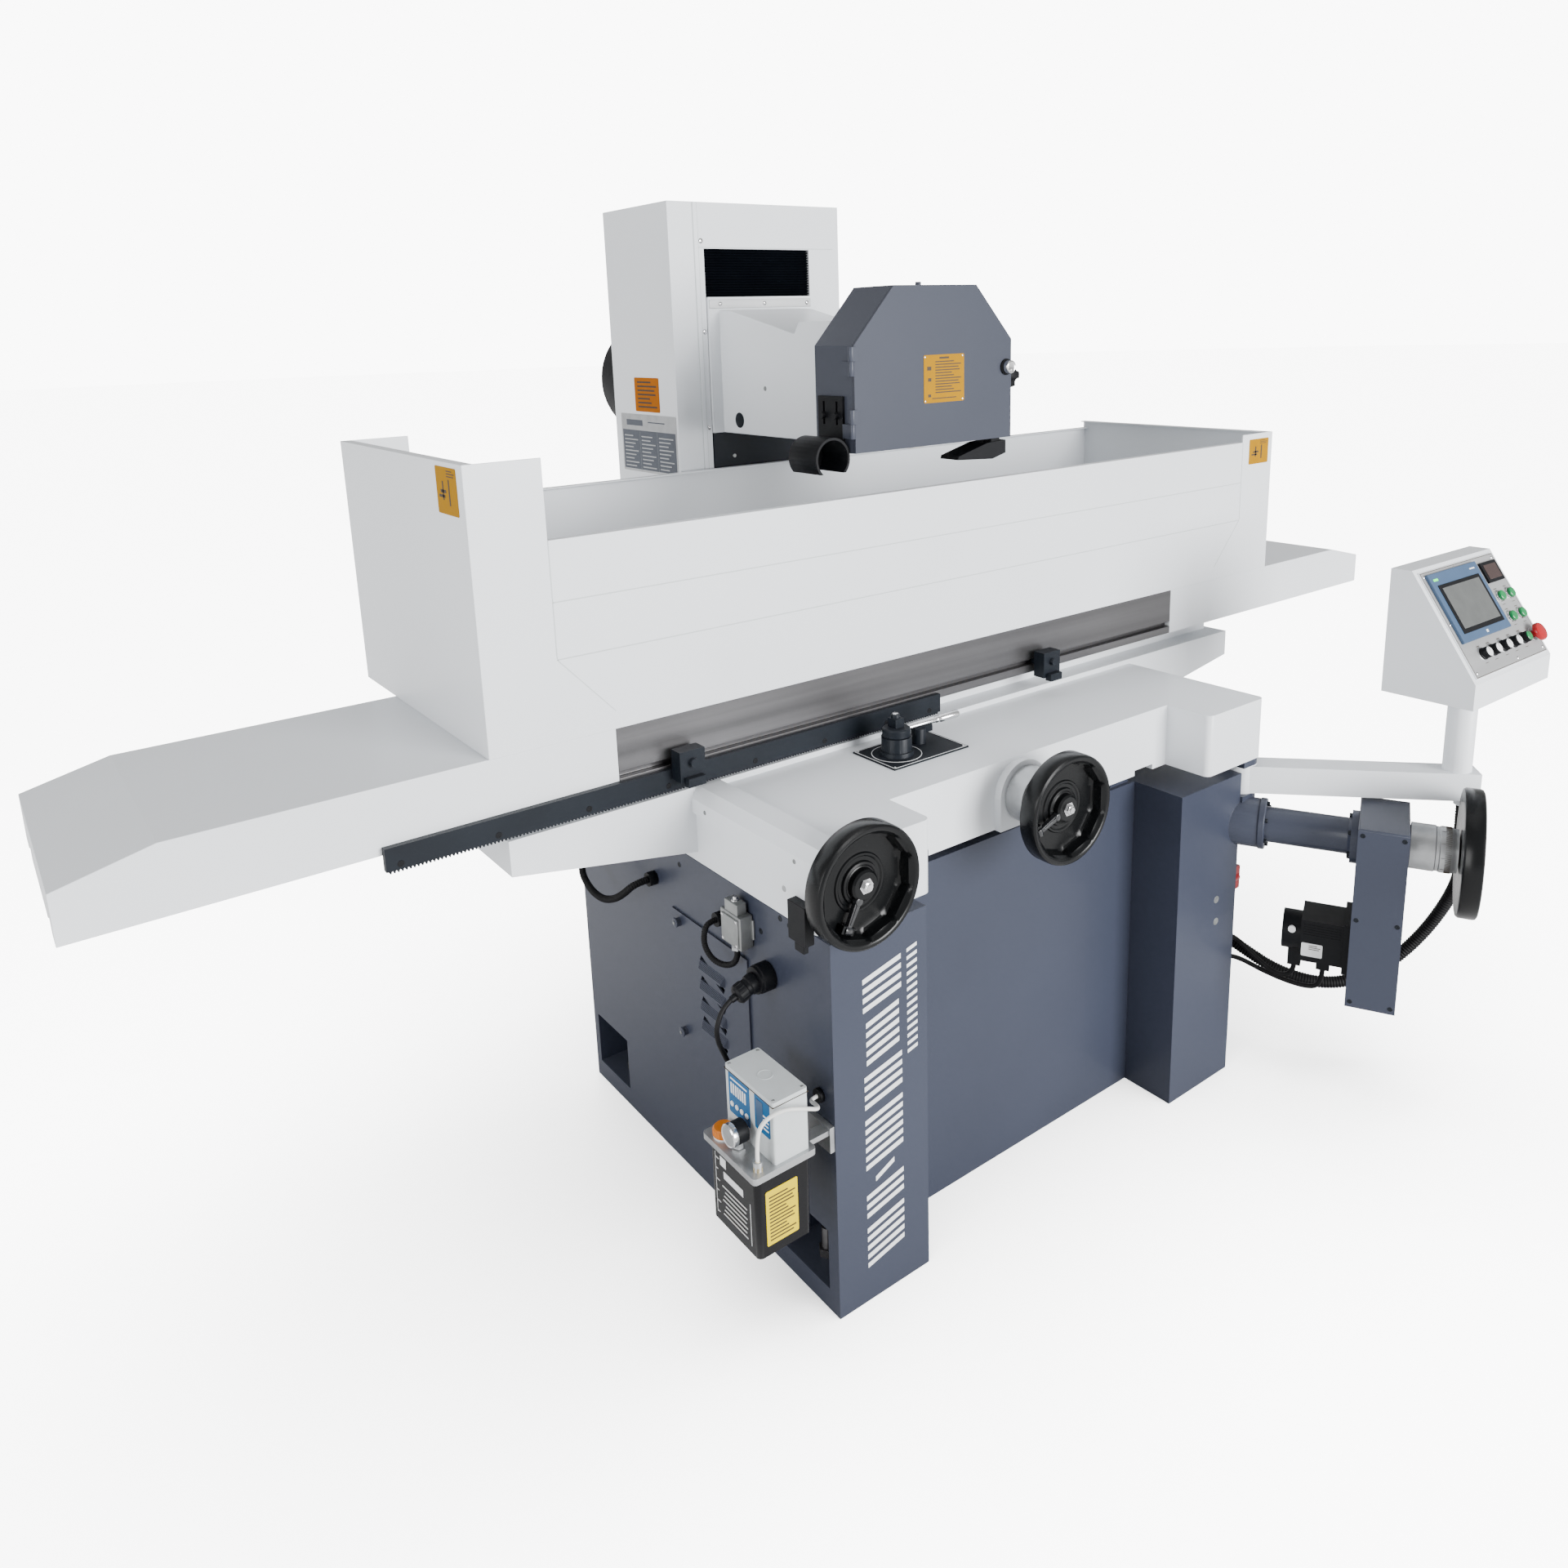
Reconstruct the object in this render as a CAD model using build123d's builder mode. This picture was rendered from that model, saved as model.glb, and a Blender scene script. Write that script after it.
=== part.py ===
"""Surface grinder with a saddle-mounted table, a moving wheel head and a swinging control console.

Millimetres.  +X runs right along the table, +Y runs back from the operator to the column, +Z is up.
The origin is on the floor, on the base's middle line, near the front edge of the table.
"""
from build123d import *
from math import atan2, cos, degrees, hypot, pi, radians, sin, tan
import os

# ---------------------------------------------------------------- driving dimensions
BASE_WIDTH = 1180.0            # across both legs
BASE_HEIGHT = 750.0
BASE_FRONT = -558.0            # front faces of the legs
BASE_BACK = 391.0              # back of the wide part of the base
BASE_WALL = 25.0
LEG_WIDTH = 218.0
LEG_RECESS = 126.0             # how far the front between the legs is set back
STEM_WIDTH = 500.0             # the narrow part of the base, under the column
STEM_BACK = 765.0
POCKET_HEIGHT = 125.0          # foot pockets in the sides of the base
POCKET_LENGTH = 143.0
POCKET_DEPTH = 100.0
POCKET_FLOOR = 45.0
FOOT_PAD = 8.0                 # thickness of a levelling pad
FOOT_BOLT = 20.0
PAD_RADIUS = 22.0

WAY_SPACING = 660.0            # between the two cross ways on the base
WAY_WIDTH = 60.0
WAY_HEIGHT = 60.0
SLIDE_GAP = 0.3                # between a way and the casting that slides on it
SADDLE_LIFT = 48.0             # from the base's top to the saddle's underside
NUT_SPAN = (-300.0, -240.0)    # the cross-feed nut's bracket, front and back
RIB_HALF = 12.0                # half the thickness of the rib along the base's middle
MAIN_SWITCH_AT = (-535.0, 480.0)
SERVO_EXIT_Y = -530.0
SERVO_EXITS = (326.0, 274.0)
HOSE_EXIT = (-440.0, 300.0)

SADDLE_FRONT = -595.0
SADDLE_LEFT = -640.0
SADDLE_RIGHT = 603.0
SADDLE_BACK = 229.0
SADDLE_TOP = 935.0
LOBE_LEFT = 247.0              # width of the left front lobe
LOBE_RIGHT = 197.0
LOBE_DEPTH = 109.0             # how far the lobes stand in front of the saddle's middle
EDGE_STRIP = 60.0              # the raised strip along the left edge
STRIP_RISE = 14.0
BED_TOP = 946.0                # the table bed behind the saddle's front deck
BED_HALF = 1000.0
BED_TIP = 64.0                 # thickness of the bed at its ends

TABLE_LEFT = -790.0
TABLE_RIGHT = 757.0
TABLE_FRONT = -228.0
TABLE_DEPTH = 457.0
TABLE_BOTTOM = 984.0
TABLE_TOP = 1095.0
TABLE_WAY_SPACING = 300.0
TABLE_WAY_WIDTH = 50.0
TABLE_WAY_HEIGHT = 54.0
SLOT_HEIGHT = 12.0             # T-slot along the table's front face
SLOT_LEVEL = 1008.0
CHUCK_LENGTH = 1000.0
CHUCK_WIDTH = 400.0
CHUCK_HEIGHT = 88.0

COVER_REACH = 1635.0           # outer end of each table cover
COVER_FOLD = 1500.0
COVER_TOP = 1095.0
COVER_END_DROP = 33.0
SHEET = 4.0                    # sheet thickness of covers and guards

GUARD_LEFT = -1021.0
GUARD_RIGHT = 1158.0
GUARD_BACK = 397.0
GUARD_WING = 131.0             # width of the taller front corners
GUARD_TOP = 1438.0
GUARD_LEFT_TOP = 1572.0
GUARD_RIGHT_TOP = 1457.0

RACK_LEFT = -1203.0
RACK_RIGHT = -38.0
RACK_BOTTOM = 955.0
RACK_HEIGHT = 43.0
RACK_THICK = 12.0
DOG_LEFT = -666.0
DOG_RIGHT = 275.0
DOG_WIDTH = 52.0

COLUMN_WIDTH = 490.0
COLUMN_FRONT = 428.0
COLUMN_BACK = 735.0
COLUMN_TOP = 2046.0
COLUMN_WALL = 30.0
COLUMN_SLOT = 304.0            # width of the front opening
COLUMN_SLOT_TOP = 1943.0
COLUMN_SLOT_BOTTOM = 1170.0
MOTOR_RADIUS = 105.0
MOTOR_BACK = 990.0
COWL_RADIUS = 156.0            # the round cowl over the motor's fan, behind the column
COWL_FRONT = 772.0

SPINDLE_HEIGHT = 1630.0
HEAD_HALF = 120.0
HEAD_BOTTOM = 1518.0
HEAD_NOSE = -66.0
HEAD_PLATE_TOP = 1834.0
SKIRT_HEIGHT = 270.0           # the dark plate that closes the column's opening below the head
HEAD_UP = 80.0                 # how far the head rises from where it is modelled
HEAD_DOWN = 70.0
WHEEL_RADIUS = 126.0
WHEEL_WIDTH = 40.0
WHEEL_MIDDLE = -110.0
SCOOP_RADIUS = 42.0            # the coolant scoop on the left of the wheel guard
SCOOP_LEVEL = 1508.0
KNOB_AT = (-150.0, 1645.0)     # the wedge nozzle's clamp knob on the right of the wheel guard
GUARD_HALF = 216.0             # wheel guard
GUARD_CROWN = 112.0
WHEEL_GUARD_FRONT = -194.0
WHEEL_GUARD_BACK = -70.0
WHEEL_GUARD_BOTTOM = 1516.0
WHEEL_GUARD_SHOULDER = 1723.0
WHEEL_GUARD_TOP = 1835.0
DOOR = 5.0                     # thickness of the wheel guard's door
HINGE_RADIUS = 6.0
HINGE_PIN = 3.0
HINGE_LEVELS = (1545.0, 1665.0)
HINGE_LENGTH = 56.0
LATCH_HEIGHT = 1665.0

HANDWHEEL_RADIUS = 108.0
ELEVATING_WHEEL_RADIUS = 138.0
HANDWHEEL_SHAFT = 12.0
RUNNING_FIT = 0.05             # radial play of a shaft in its bore
TABLE_WHEEL_AT = (-566.0, 878.0)
CROSS_WHEEL_AT = (-60.0, 864.0)
SCREW_RADIUS = 16.0
BOSS_RADIUS = 66.0             # the cross-feed shaft's housing in the saddle's front recess
BOSS_DEPTH = 16.0
RIM_DEPTH = 40.0               # a handwheel's rim, along its shaft
RIM_WALL = 16.0
WEB = 8.0
HUB_RADIUS = 28.0
HANDLE_EYE = 8.0
HANDLE_PIN = 4.0

ELEVATING_TURN = 27.0          # how far the elevating shaft points right of straight ahead
ELEVATING_ROOT = (626.0, -586.0, 629.0)
BOSS_SIDE = 56.0               # the round boss on the right leg that carries the oblique tube
BOSS_SUNK = 130.0              # how far the boss reaches back into the leg
ELEVATING_TUBE = 40.0
GEARBOX_NEAR = 205.0           # along the shaft, from the root
GEARBOX_THICK = 100.0
GEARBOX_WIDTH = 200.0
GEARBOX_TOP = 60.0             # above the shaft
GEARBOX_BOTTOM = -358.0
SERVO_SIDE = 100.0
SERVO_LENGTH = 140.0
SERVO_LEVEL = -246.0

LID_TOP = 396.0                # the oil pump's lid
LID_X = (-772.0, -642.0)
LID_Y = (-574.0, -412.0)

ARM_PIVOT = (628.0, -528.0)
ARM_SIDE = 64.0
ARM_BOTTOM = 696.0
ARM_BARREL = 36.0
ARM_PIN = 14.0
POST_AT = (940.0, -866.0)
POST_RADIUS = 30.0
CONSOLE_WIDTH = 350.0
CONSOLE_BOTTOM = 957.0
CONSOLE_HEIGHT = 271.0
CONSOLE_DEPTH = 192.0
CONSOLE_LIP = 55.0             # height of the console's front edge
CONSOLE_CROWN = 44.0           # depth of the console's flat top
CONSOLE_WALL = 5.0
BUTTON_RADIUS = 11.0
BUTTON_PLAY = 0.3

# ---------------------------------------------------------------- worked-out planes and places
HALF = BASE_WIDTH / 2
RECESS_FACE = BASE_FRONT + LEG_RECESS
POCKET_CENTRES = (-457.0, 298.0)
SADDLE_BOTTOM = BASE_HEIGHT + SADDLE_LIFT
SADDLE_RECESS = SADDLE_FRONT + LOBE_DEPTH
TABLE_BACK = TABLE_FRONT + TABLE_DEPTH
ELEVATING = Plane(
    origin=ELEVATING_ROOT,
    x_dir=(cos(radians(ELEVATING_TURN)), sin(radians(ELEVATING_TURN)), 0),
    z_dir=(sin(radians(ELEVATING_TURN)), -cos(radians(ELEVATING_TURN)), 0),
)
GEARBOX_FRONT = GEARBOX_NEAR + GEARBOX_THICK
ARM_TOP = ARM_BOTTOM + ARM_SIDE
ARM_REACH = hypot(POST_AT[0] - ARM_PIVOT[0], POST_AT[1] - ARM_PIVOT[1])
ARM_ANGLE = degrees(atan2(POST_AT[1] - ARM_PIVOT[1], POST_AT[0] - ARM_PIVOT[0]))
HOSE_REACH = ARM_REACH + 20    # where the hose meets the arm's underside, along the arm
HOSE_END = (ARM_PIVOT[0] + HOSE_REACH * cos(radians(ARM_ANGLE)),
            ARM_PIVOT[1] + HOSE_REACH * sin(radians(ARM_ANGLE)))
CONSOLE_BACK = POST_AT[1] + CONSOLE_DEPTH / 2
CONSOLE_FRONT = POST_AT[1] - CONSOLE_DEPTH / 2
CONSOLE_TOP = CONSOLE_BOTTOM + CONSOLE_HEIGHT
FACE_RUN = CONSOLE_DEPTH - CONSOLE_CROWN
FACE_RISE = CONSOLE_HEIGHT - CONSOLE_LIP
FACE_LENGTH = hypot(FACE_RUN, FACE_RISE)
FACE = Plane(
    origin=(POST_AT[0], CONSOLE_FRONT + FACE_RUN / 2, CONSOLE_BOTTOM + CONSOLE_LIP + FACE_RISE / 2),
    x_dir=(1, 0, 0),
    z_dir=(0, -FACE_RISE / FACE_LENGTH, FACE_RUN / FACE_LENGTH),
)
BUTTON_PLACES = ((95.0, 23.0), (140.0, 23.0), (95.0, -26.0), (140.0, -26.0))
KNOB_PLACES = ((-95.0, -78.0), (-52.0, -78.0), (-4.0, -78.0), (42.0, -78.0))
CAP_SWITCH_PLACE = (90.0, -78.0)
STOP_PLACE = (140.0, -78.0)
VALVE_AT = (-235.0, -325.0)
VALVE_RADIUS = 30.0
SCREW_X = COLUMN_WIDTH / 2 - COLUMN_WALL - SCREW_RADIUS - 12
SCREW_Y = COLUMN_BACK - COLUMN_WALL - SCREW_RADIUS - 40
HINGE_AT = (-GUARD_HALF - HINGE_RADIUS - 0.5, WHEEL_GUARD_FRONT + 1.0)


# ---------------------------------------------------------------- helpers
def block(x, y, z, mode=Mode.ADD):
    """A block between two limits on each axis of the open builder."""
    with Locations(((x[0] + x[1]) / 2, (y[0] + y[1]) / 2, (z[0] + z[1]) / 2)):
        Box(x[1] - x[0], y[1] - y[0], z[1] - z[0], mode=mode)


def rod(start, direction, radius, length, mode=Mode.ADD):
    """A round bar from a point, along a direction."""
    with Locations(Plane(origin=start, z_dir=direction)):
        Cylinder(radius, length, align=(Align.CENTER, Align.CENTER, Align.MIN), mode=mode)


def rods(places, level, radius, length, mode=Mode.ADD):
    """Round bars along the open builder's Z, one at each place."""
    for place in places:
        rod((place[0], place[1], level), (0, 0, 1), radius, length, mode)


def save(builder, name):
    """Label a finished piece and write its file."""
    builder.part.label = name
    export_step(builder.part, f"parts/{name}.step")


def bend_radii(points):
    """The largest even bend that each corner of a cord's route has room for."""
    vectors = [Vector(*b) - Vector(*a) for a, b in zip(points, points[1:])]
    radii = []
    for before, after in zip(vectors, vectors[1:]):
        turn = radians(before.get_angle(after))
        radii.append(0.45 * min(before.length, after.length) / tan(turn / 2))
    return radii


def cord(name, points, diameter):
    """A round cord along straight runs joined by tangent bends."""
    radii = bend_radii(points)
    with BuildPart() as tube:
        with BuildLine() as route:
            FilletPolyline(*points, radius=radii)
        with BuildSketch(Plane(origin=route.line @ 0, z_dir=route.line % 0)):
            Circle(diameter / 2)
        sweep()
    length = route.wires()[0].length
    expected = pi * diameter**2 / 4 * length
    print(f"{name}: {length:.0f} long, radii {[round(r) for r in radii]}, "
          f"volume ratio {tube.part.volume / expected:.4f}")
    return tube


def base_outline(inset):
    """The corners of the base's T-shaped plan, inside its outer faces by inset."""
    side = HALF - inset
    front = BASE_FRONT + inset
    leg = HALF - LEG_WIDTH + inset
    recess = RECESS_FACE + inset
    back = BASE_BACK - inset
    stem = STEM_WIDTH / 2 - inset
    tail = STEM_BACK - inset
    corners = ((leg, recess), (leg, front), (side, front), (side, back), (stem, back), (stem, tail))
    return (*corners, *[(-x, y) for x, y in reversed(corners)])


# ---------------------------------------------------------------- base
def make_base():
    """The cast base: hollow, open below, with foot pockets, cross ways and the screw's nut bracket."""
    with BuildPart() as base:
        with BuildSketch():
            with BuildLine():
                Polyline(*base_outline(0), close=True)
            make_face()
        extrude(amount=BASE_HEIGHT)
        with BuildSketch():
            with BuildLine():
                Polyline(*base_outline(BASE_WALL), close=True)
            make_face()
        extrude(amount=BASE_HEIGHT - BASE_WALL - 5, mode=Mode.SUBTRACT)
        for side in (-1, 1):
            for middle in POCKET_CENTRES:
                outer = sorted((side * (HALF - 2), side * (HALF - POCKET_DEPTH - 20)))
                hollow = sorted((side * (HALF + 1), side * (HALF - POCKET_DEPTH)))
                near, far = middle - POCKET_LENGTH / 2, middle + POCKET_LENGTH / 2
                top = POCKET_FLOOR + POCKET_HEIGHT
                block(outer, (near - 20, far + 20), (FOOT_PAD, top + 20))
                block(hollow, (near, far), (POCKET_FLOOR, top), Mode.SUBTRACT)
                bolt = (side * (HALF - POCKET_DEPTH / 2), middle, 0)
                rod(bolt, (0, 0, 1), FOOT_BOLT / 2 + 1, POCKET_FLOOR + 1, Mode.SUBTRACT)
        for side in (-1, 1):
            middle = side * WAY_SPACING / 2
            block((middle - WAY_WIDTH / 2, middle + WAY_WIDTH / 2), (RECESS_FACE + 10, BASE_BACK),
                  (BASE_HEIGHT - 1, BASE_HEIGHT + WAY_HEIGHT - SLIDE_GAP))
        screw_x, screw_z = CROSS_WHEEL_AT
        block((screw_x - 35, screw_x + 35), NUT_SPAN, (BASE_HEIGHT - 1, screw_z + 32))
        rod((screw_x, NUT_SPAN[0] - 1, screw_z), (0, 1, 0), SCREW_RADIUS + RUNNING_FIT,
            NUT_SPAN[1] - NUT_SPAN[0] + 2, Mode.SUBTRACT)
        block((-RIB_HALF, RIB_HALF), (RECESS_FACE + 10, STEM_BACK - 10), (0, BASE_HEIGHT - BASE_WALL))
        block((-HALF - 1, -HALF + BASE_WALL + 1), (-285, -50), (345, 592), Mode.SUBTRACT)
        rod(ELEVATING_ROOT, tuple(-ELEVATING.z_dir), BOSS_SIDE, BOSS_SUNK)
        for level in (ARM_BOTTOM - 20, ARM_TOP + 2):
            block((HALF - 1, ARM_PIVOT[0]), (ARM_PIVOT[1] - ARM_BARREL, ARM_PIVOT[1] + ARM_BARREL),
                  (level, level + 18))
            rod((*ARM_PIVOT, level), (0, 0, 1), ARM_BARREL, 18)
        rod((*ARM_PIVOT, ARM_BOTTOM - 12), (0, 0, 1), ARM_PIN, ARM_SIDE + 24)
    save(base, "base_casting")


def make_access_cover():
    """The louvred cover on the left side, held by two thumbscrews."""
    with BuildPart() as cover:
        block((-HALF - SHEET, -HALF), (-305, -30), (325, 612))
        for level in (390, 434, 480, 524):
            with Locations(Location((-HALF, -177, level), (24, 0, 0))):
                Box(3 * SHEET, 92, 14, mode=Mode.SUBTRACT)
        for place in ((-58, 590), (-60, 343)):
            rod((-HALF - SHEET + 1, *place), (-1, 0, 0), 9, 11)
    save(cover, "access_cover")


def make_levelling_feet():
    """Four levelling bolts, each with its nut on the pocket's floor and its pad on the ground."""
    with BuildPart() as feet:
        for side in (-1, 1):
            for middle in POCKET_CENTRES:
                spot = (side * (HALF - POCKET_DEPTH / 2), middle)
                rod((*spot, 0), (0, 0, 1), PAD_RADIUS, FOOT_PAD)
                rod((*spot, 0), (0, 0, 1), FOOT_BOLT / 2, 105)
                with BuildSketch(Plane.XY.offset(POCKET_FLOOR)):
                    with Locations(spot):
                        RegularPolygon(17, 6)
                extrude(amount=16)
    save(feet, "levelling_feet")


def make_elevating_gearbox():
    """The oblique tube and the tall belt housing at its end."""
    with BuildPart(ELEVATING) as gearbox:
        rods([(0, 0)], 0, 54, 14)
        rods([(0, 0)], 10, ELEVATING_TUBE, GEARBOX_NEAR - 9)
        block((-GEARBOX_WIDTH / 2, GEARBOX_WIDTH / 2), (GEARBOX_BOTTOM, GEARBOX_TOP),
              (GEARBOX_NEAR, GEARBOX_FRONT))
        fillet(gearbox.faces().sort_by(Axis.Z)[-1].edges(), 4)
        rods([(0, 0)], GEARBOX_FRONT - 70, HANDWHEEL_SHAFT + RUNNING_FIT, 71, Mode.SUBTRACT)
    save(gearbox, "elevating_gearbox")


def make_servo_motor():
    """The servo motor on the machine side of the belt housing, with two connectors underneath."""
    with BuildPart(ELEVATING) as servo:
        near = GEARBOX_NEAR - SERVO_LENGTH
        half = SERVO_SIDE / 2
        block((-half, half), (SERVO_LEVEL - half, SERVO_LEVEL + half), (near + 40, GEARBOX_NEAR - 12))
        block((-half - 10, half + 10), (SERVO_LEVEL - half - 10, SERVO_LEVEL + half + 10),
              (GEARBOX_NEAR - 12, GEARBOX_NEAR))
        rods([(0, SERVO_LEVEL)], near, half - 6, 42)
        for at in (near + 14, near + 75):
            block((-14, 14), (SERVO_LEVEL - half - 34, SERVO_LEVEL - half + 8), (at, at + 28))
    save(servo, "servo_motor")


def make_left_side_fittings():
    """The limit switch, the wall socket with its plug, and the glands and grommets."""
    with BuildPart() as switch:
        block((-HALF - 34, -HALF), (-328, -262), (648, 714))
        block((-HALF - 28, -HALF - 6), (-310, -280), (714, 738))
        rod((-HALF - 17, -295, 736), (0, 0, 1), 7, 8)
        rod((-HALF - 17, -295, 636), (0, 0, 1), 12, 14)
    save(switch, "limit_switch")
    with BuildPart() as socket:
        rod((-HALF, -372, 612), (-1, 0, 0), 27, 34)
        rod((-HALF - 32, -372, 612), (-1, 0, -0.35), 19, 46)
    save(socket, "wall_socket")
    with BuildPart() as glands:
        rod((-HALF, -519, 445), (-1, 0, 0), 13, 8)
        rod((-HALF, 40, 650), (-1, 0, 0), 15, 18)
        rod((-HALF, 271, 640), (-1, 0, 0), 15, 18)
        rod((-HALF, -226, 668), (-1, 0, 0), 14, 20)
        for level in SERVO_EXITS:
            rod((HALF, SERVO_EXIT_Y, level), (1, 0, 0), 13, 16)
        rod((HALF, *HOSE_EXIT), (1, 0, 0), 21, 22)
    save(glands, "cable_glands")


# ---------------------------------------------------------------- lubricator
def make_lubricator():
    """The oil pump on the left side: tank, lid with its bracket, gauge and cap, and control box."""
    with BuildPart() as tank:
        block((LID_X[0] + 10, LID_X[1] - 8), (LID_Y[0] + 10, LID_Y[1] - 8), (228, LID_TOP - 12))
        fillet(tank.edges().filter_by(Axis.Z), 10)
        offset(amount=-3, openings=tank.faces().sort_by(Axis.Z)[-1])
    save(tank, "lubricator_tank")
    with BuildPart() as lid:
        block(LID_X, LID_Y, (LID_TOP - 12, LID_TOP))
        fillet(lid.edges().filter_by(Axis.Z), 8)
        for middle in (-540.0, -446.0):
            block((LID_X[1] - 6, -HALF - 8), (middle - 12, middle + 12), (LID_TOP - 11, LID_TOP - 1))
        block((-HALF - 10, -HALF), (-556, -430), (LID_TOP - 45, LID_TOP + 5))
        rod((-748, -446, LID_TOP - 1), (0, 0, 1), 17, 19)
        rod((-748, -492, LID_TOP - 1), (0, 0, 1), 7, 24)
        rod((-738, -492, LID_TOP + 34), (-1, 0, 0), 20, 30)
        rod((-752, -556, LID_TOP - 1), (0, 0, 1), 8, 18)
    save(lid, "lubricator_lid")
    with BuildPart() as box:
        block((-724, -652), (-566, -420), (LID_TOP, 514))
        fillet(box.edges().filter_by(Axis.Z), 4)
    save(box, "lubricator_box")


def make_cords():
    """The cables, the oil pipe, the conduits and the console's hose."""
    nose = Vector(-1, 0, -0.35).normalized()
    plug = Vector(-HALF - 32, -372, 612) + nose * 46
    pipe = [(-752, -556, LID_TOP + 17), (-752, -556, 450), (-746, -562, 486), (-716, -580, 508),
            (-680, -592, 500), (-642, -584, 476), (-622, -548, 456), (-616, -519, 445), (-598, -519, 445)]
    save(cord("oil_pipe", pipe, 7), "oil_pipe")
    lead = [tuple(plug), tuple(plug + nose * 26), (-712, -378, 556), (-706, -372, 524),
            (-692, -362, 494), (-682, -366, 466), (-682, -390, 452), (-682, -420, 452)]
    save(cord("lubricator_cable", lead, 9), "lubricator_cable")
    loop = [(-607, -295, 636), (-607, -295, 612), (-618, -276, 596), (-632, -248, 600),
            (-640, -230, 626), (-636, -226, 654), (-626, -226, 668), (-610, -226, 668)]
    rear = [(-608, 271, 640), (-640, 271, 640), (-656, 258, 604), (-656, 218, 576),
            (-654, 164, 572), (-652, 112, 592), (-652, 66, 622), (-640, 40, 650), (-608, 40, 650)]
    with BuildPart() as conduits:
        add(cord("conduit at the switch", loop, 12).part)
        add(cord("rear conduit", rear, 16).part)
    save(conduits, "conduits")
    foot = SERVO_LEVEL - SERVO_SIDE / 2 - 34
    near = GEARBOX_NEAR - SERVO_LENGTH
    ends = [ELEVATING.from_local_coords(Vector(0, foot, near + at)) for at in (28, 89)]
    with BuildPart() as leads:
        for level, end, sag in zip(SERVO_EXITS, ends, (36, 52)):
            low = end.Z - sag
            middle = ((HALF + 16 + end.X) / 2, (SERVO_EXIT_Y + end.Y) / 2)
            points = [(HALF + 16, SERVO_EXIT_Y, level), (HALF + 42, SERVO_EXIT_Y, level),
                      (middle[0] + 6, middle[1] + 8, (level + low) / 2 - 12),
                      (end.X - 12, end.Y + 34, low - 8), (end.X, end.Y, low + 6), tuple(end)]
            add(cord("servo lead", points, 11).part)
    save(leads, "servo_cables")
    hose = [(HALF + 22, *HOSE_EXIT), (HALF + 84, *HOSE_EXIT), (HALF + 124, -500, 250),
            (HALF + 160, -590, 204), (HALF + 222, -684, 190), (HALF + 300, -752, 226),
            (HALF + 356, -806, 304), (HALF + 388, -850, 400), (HALF + 392, -882, 502),
            (*HOSE_END, 600), (*HOSE_END, ARM_BOTTOM - 18)]
    save(cord("console_hose", hose, 30), "console_hose")


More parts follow.
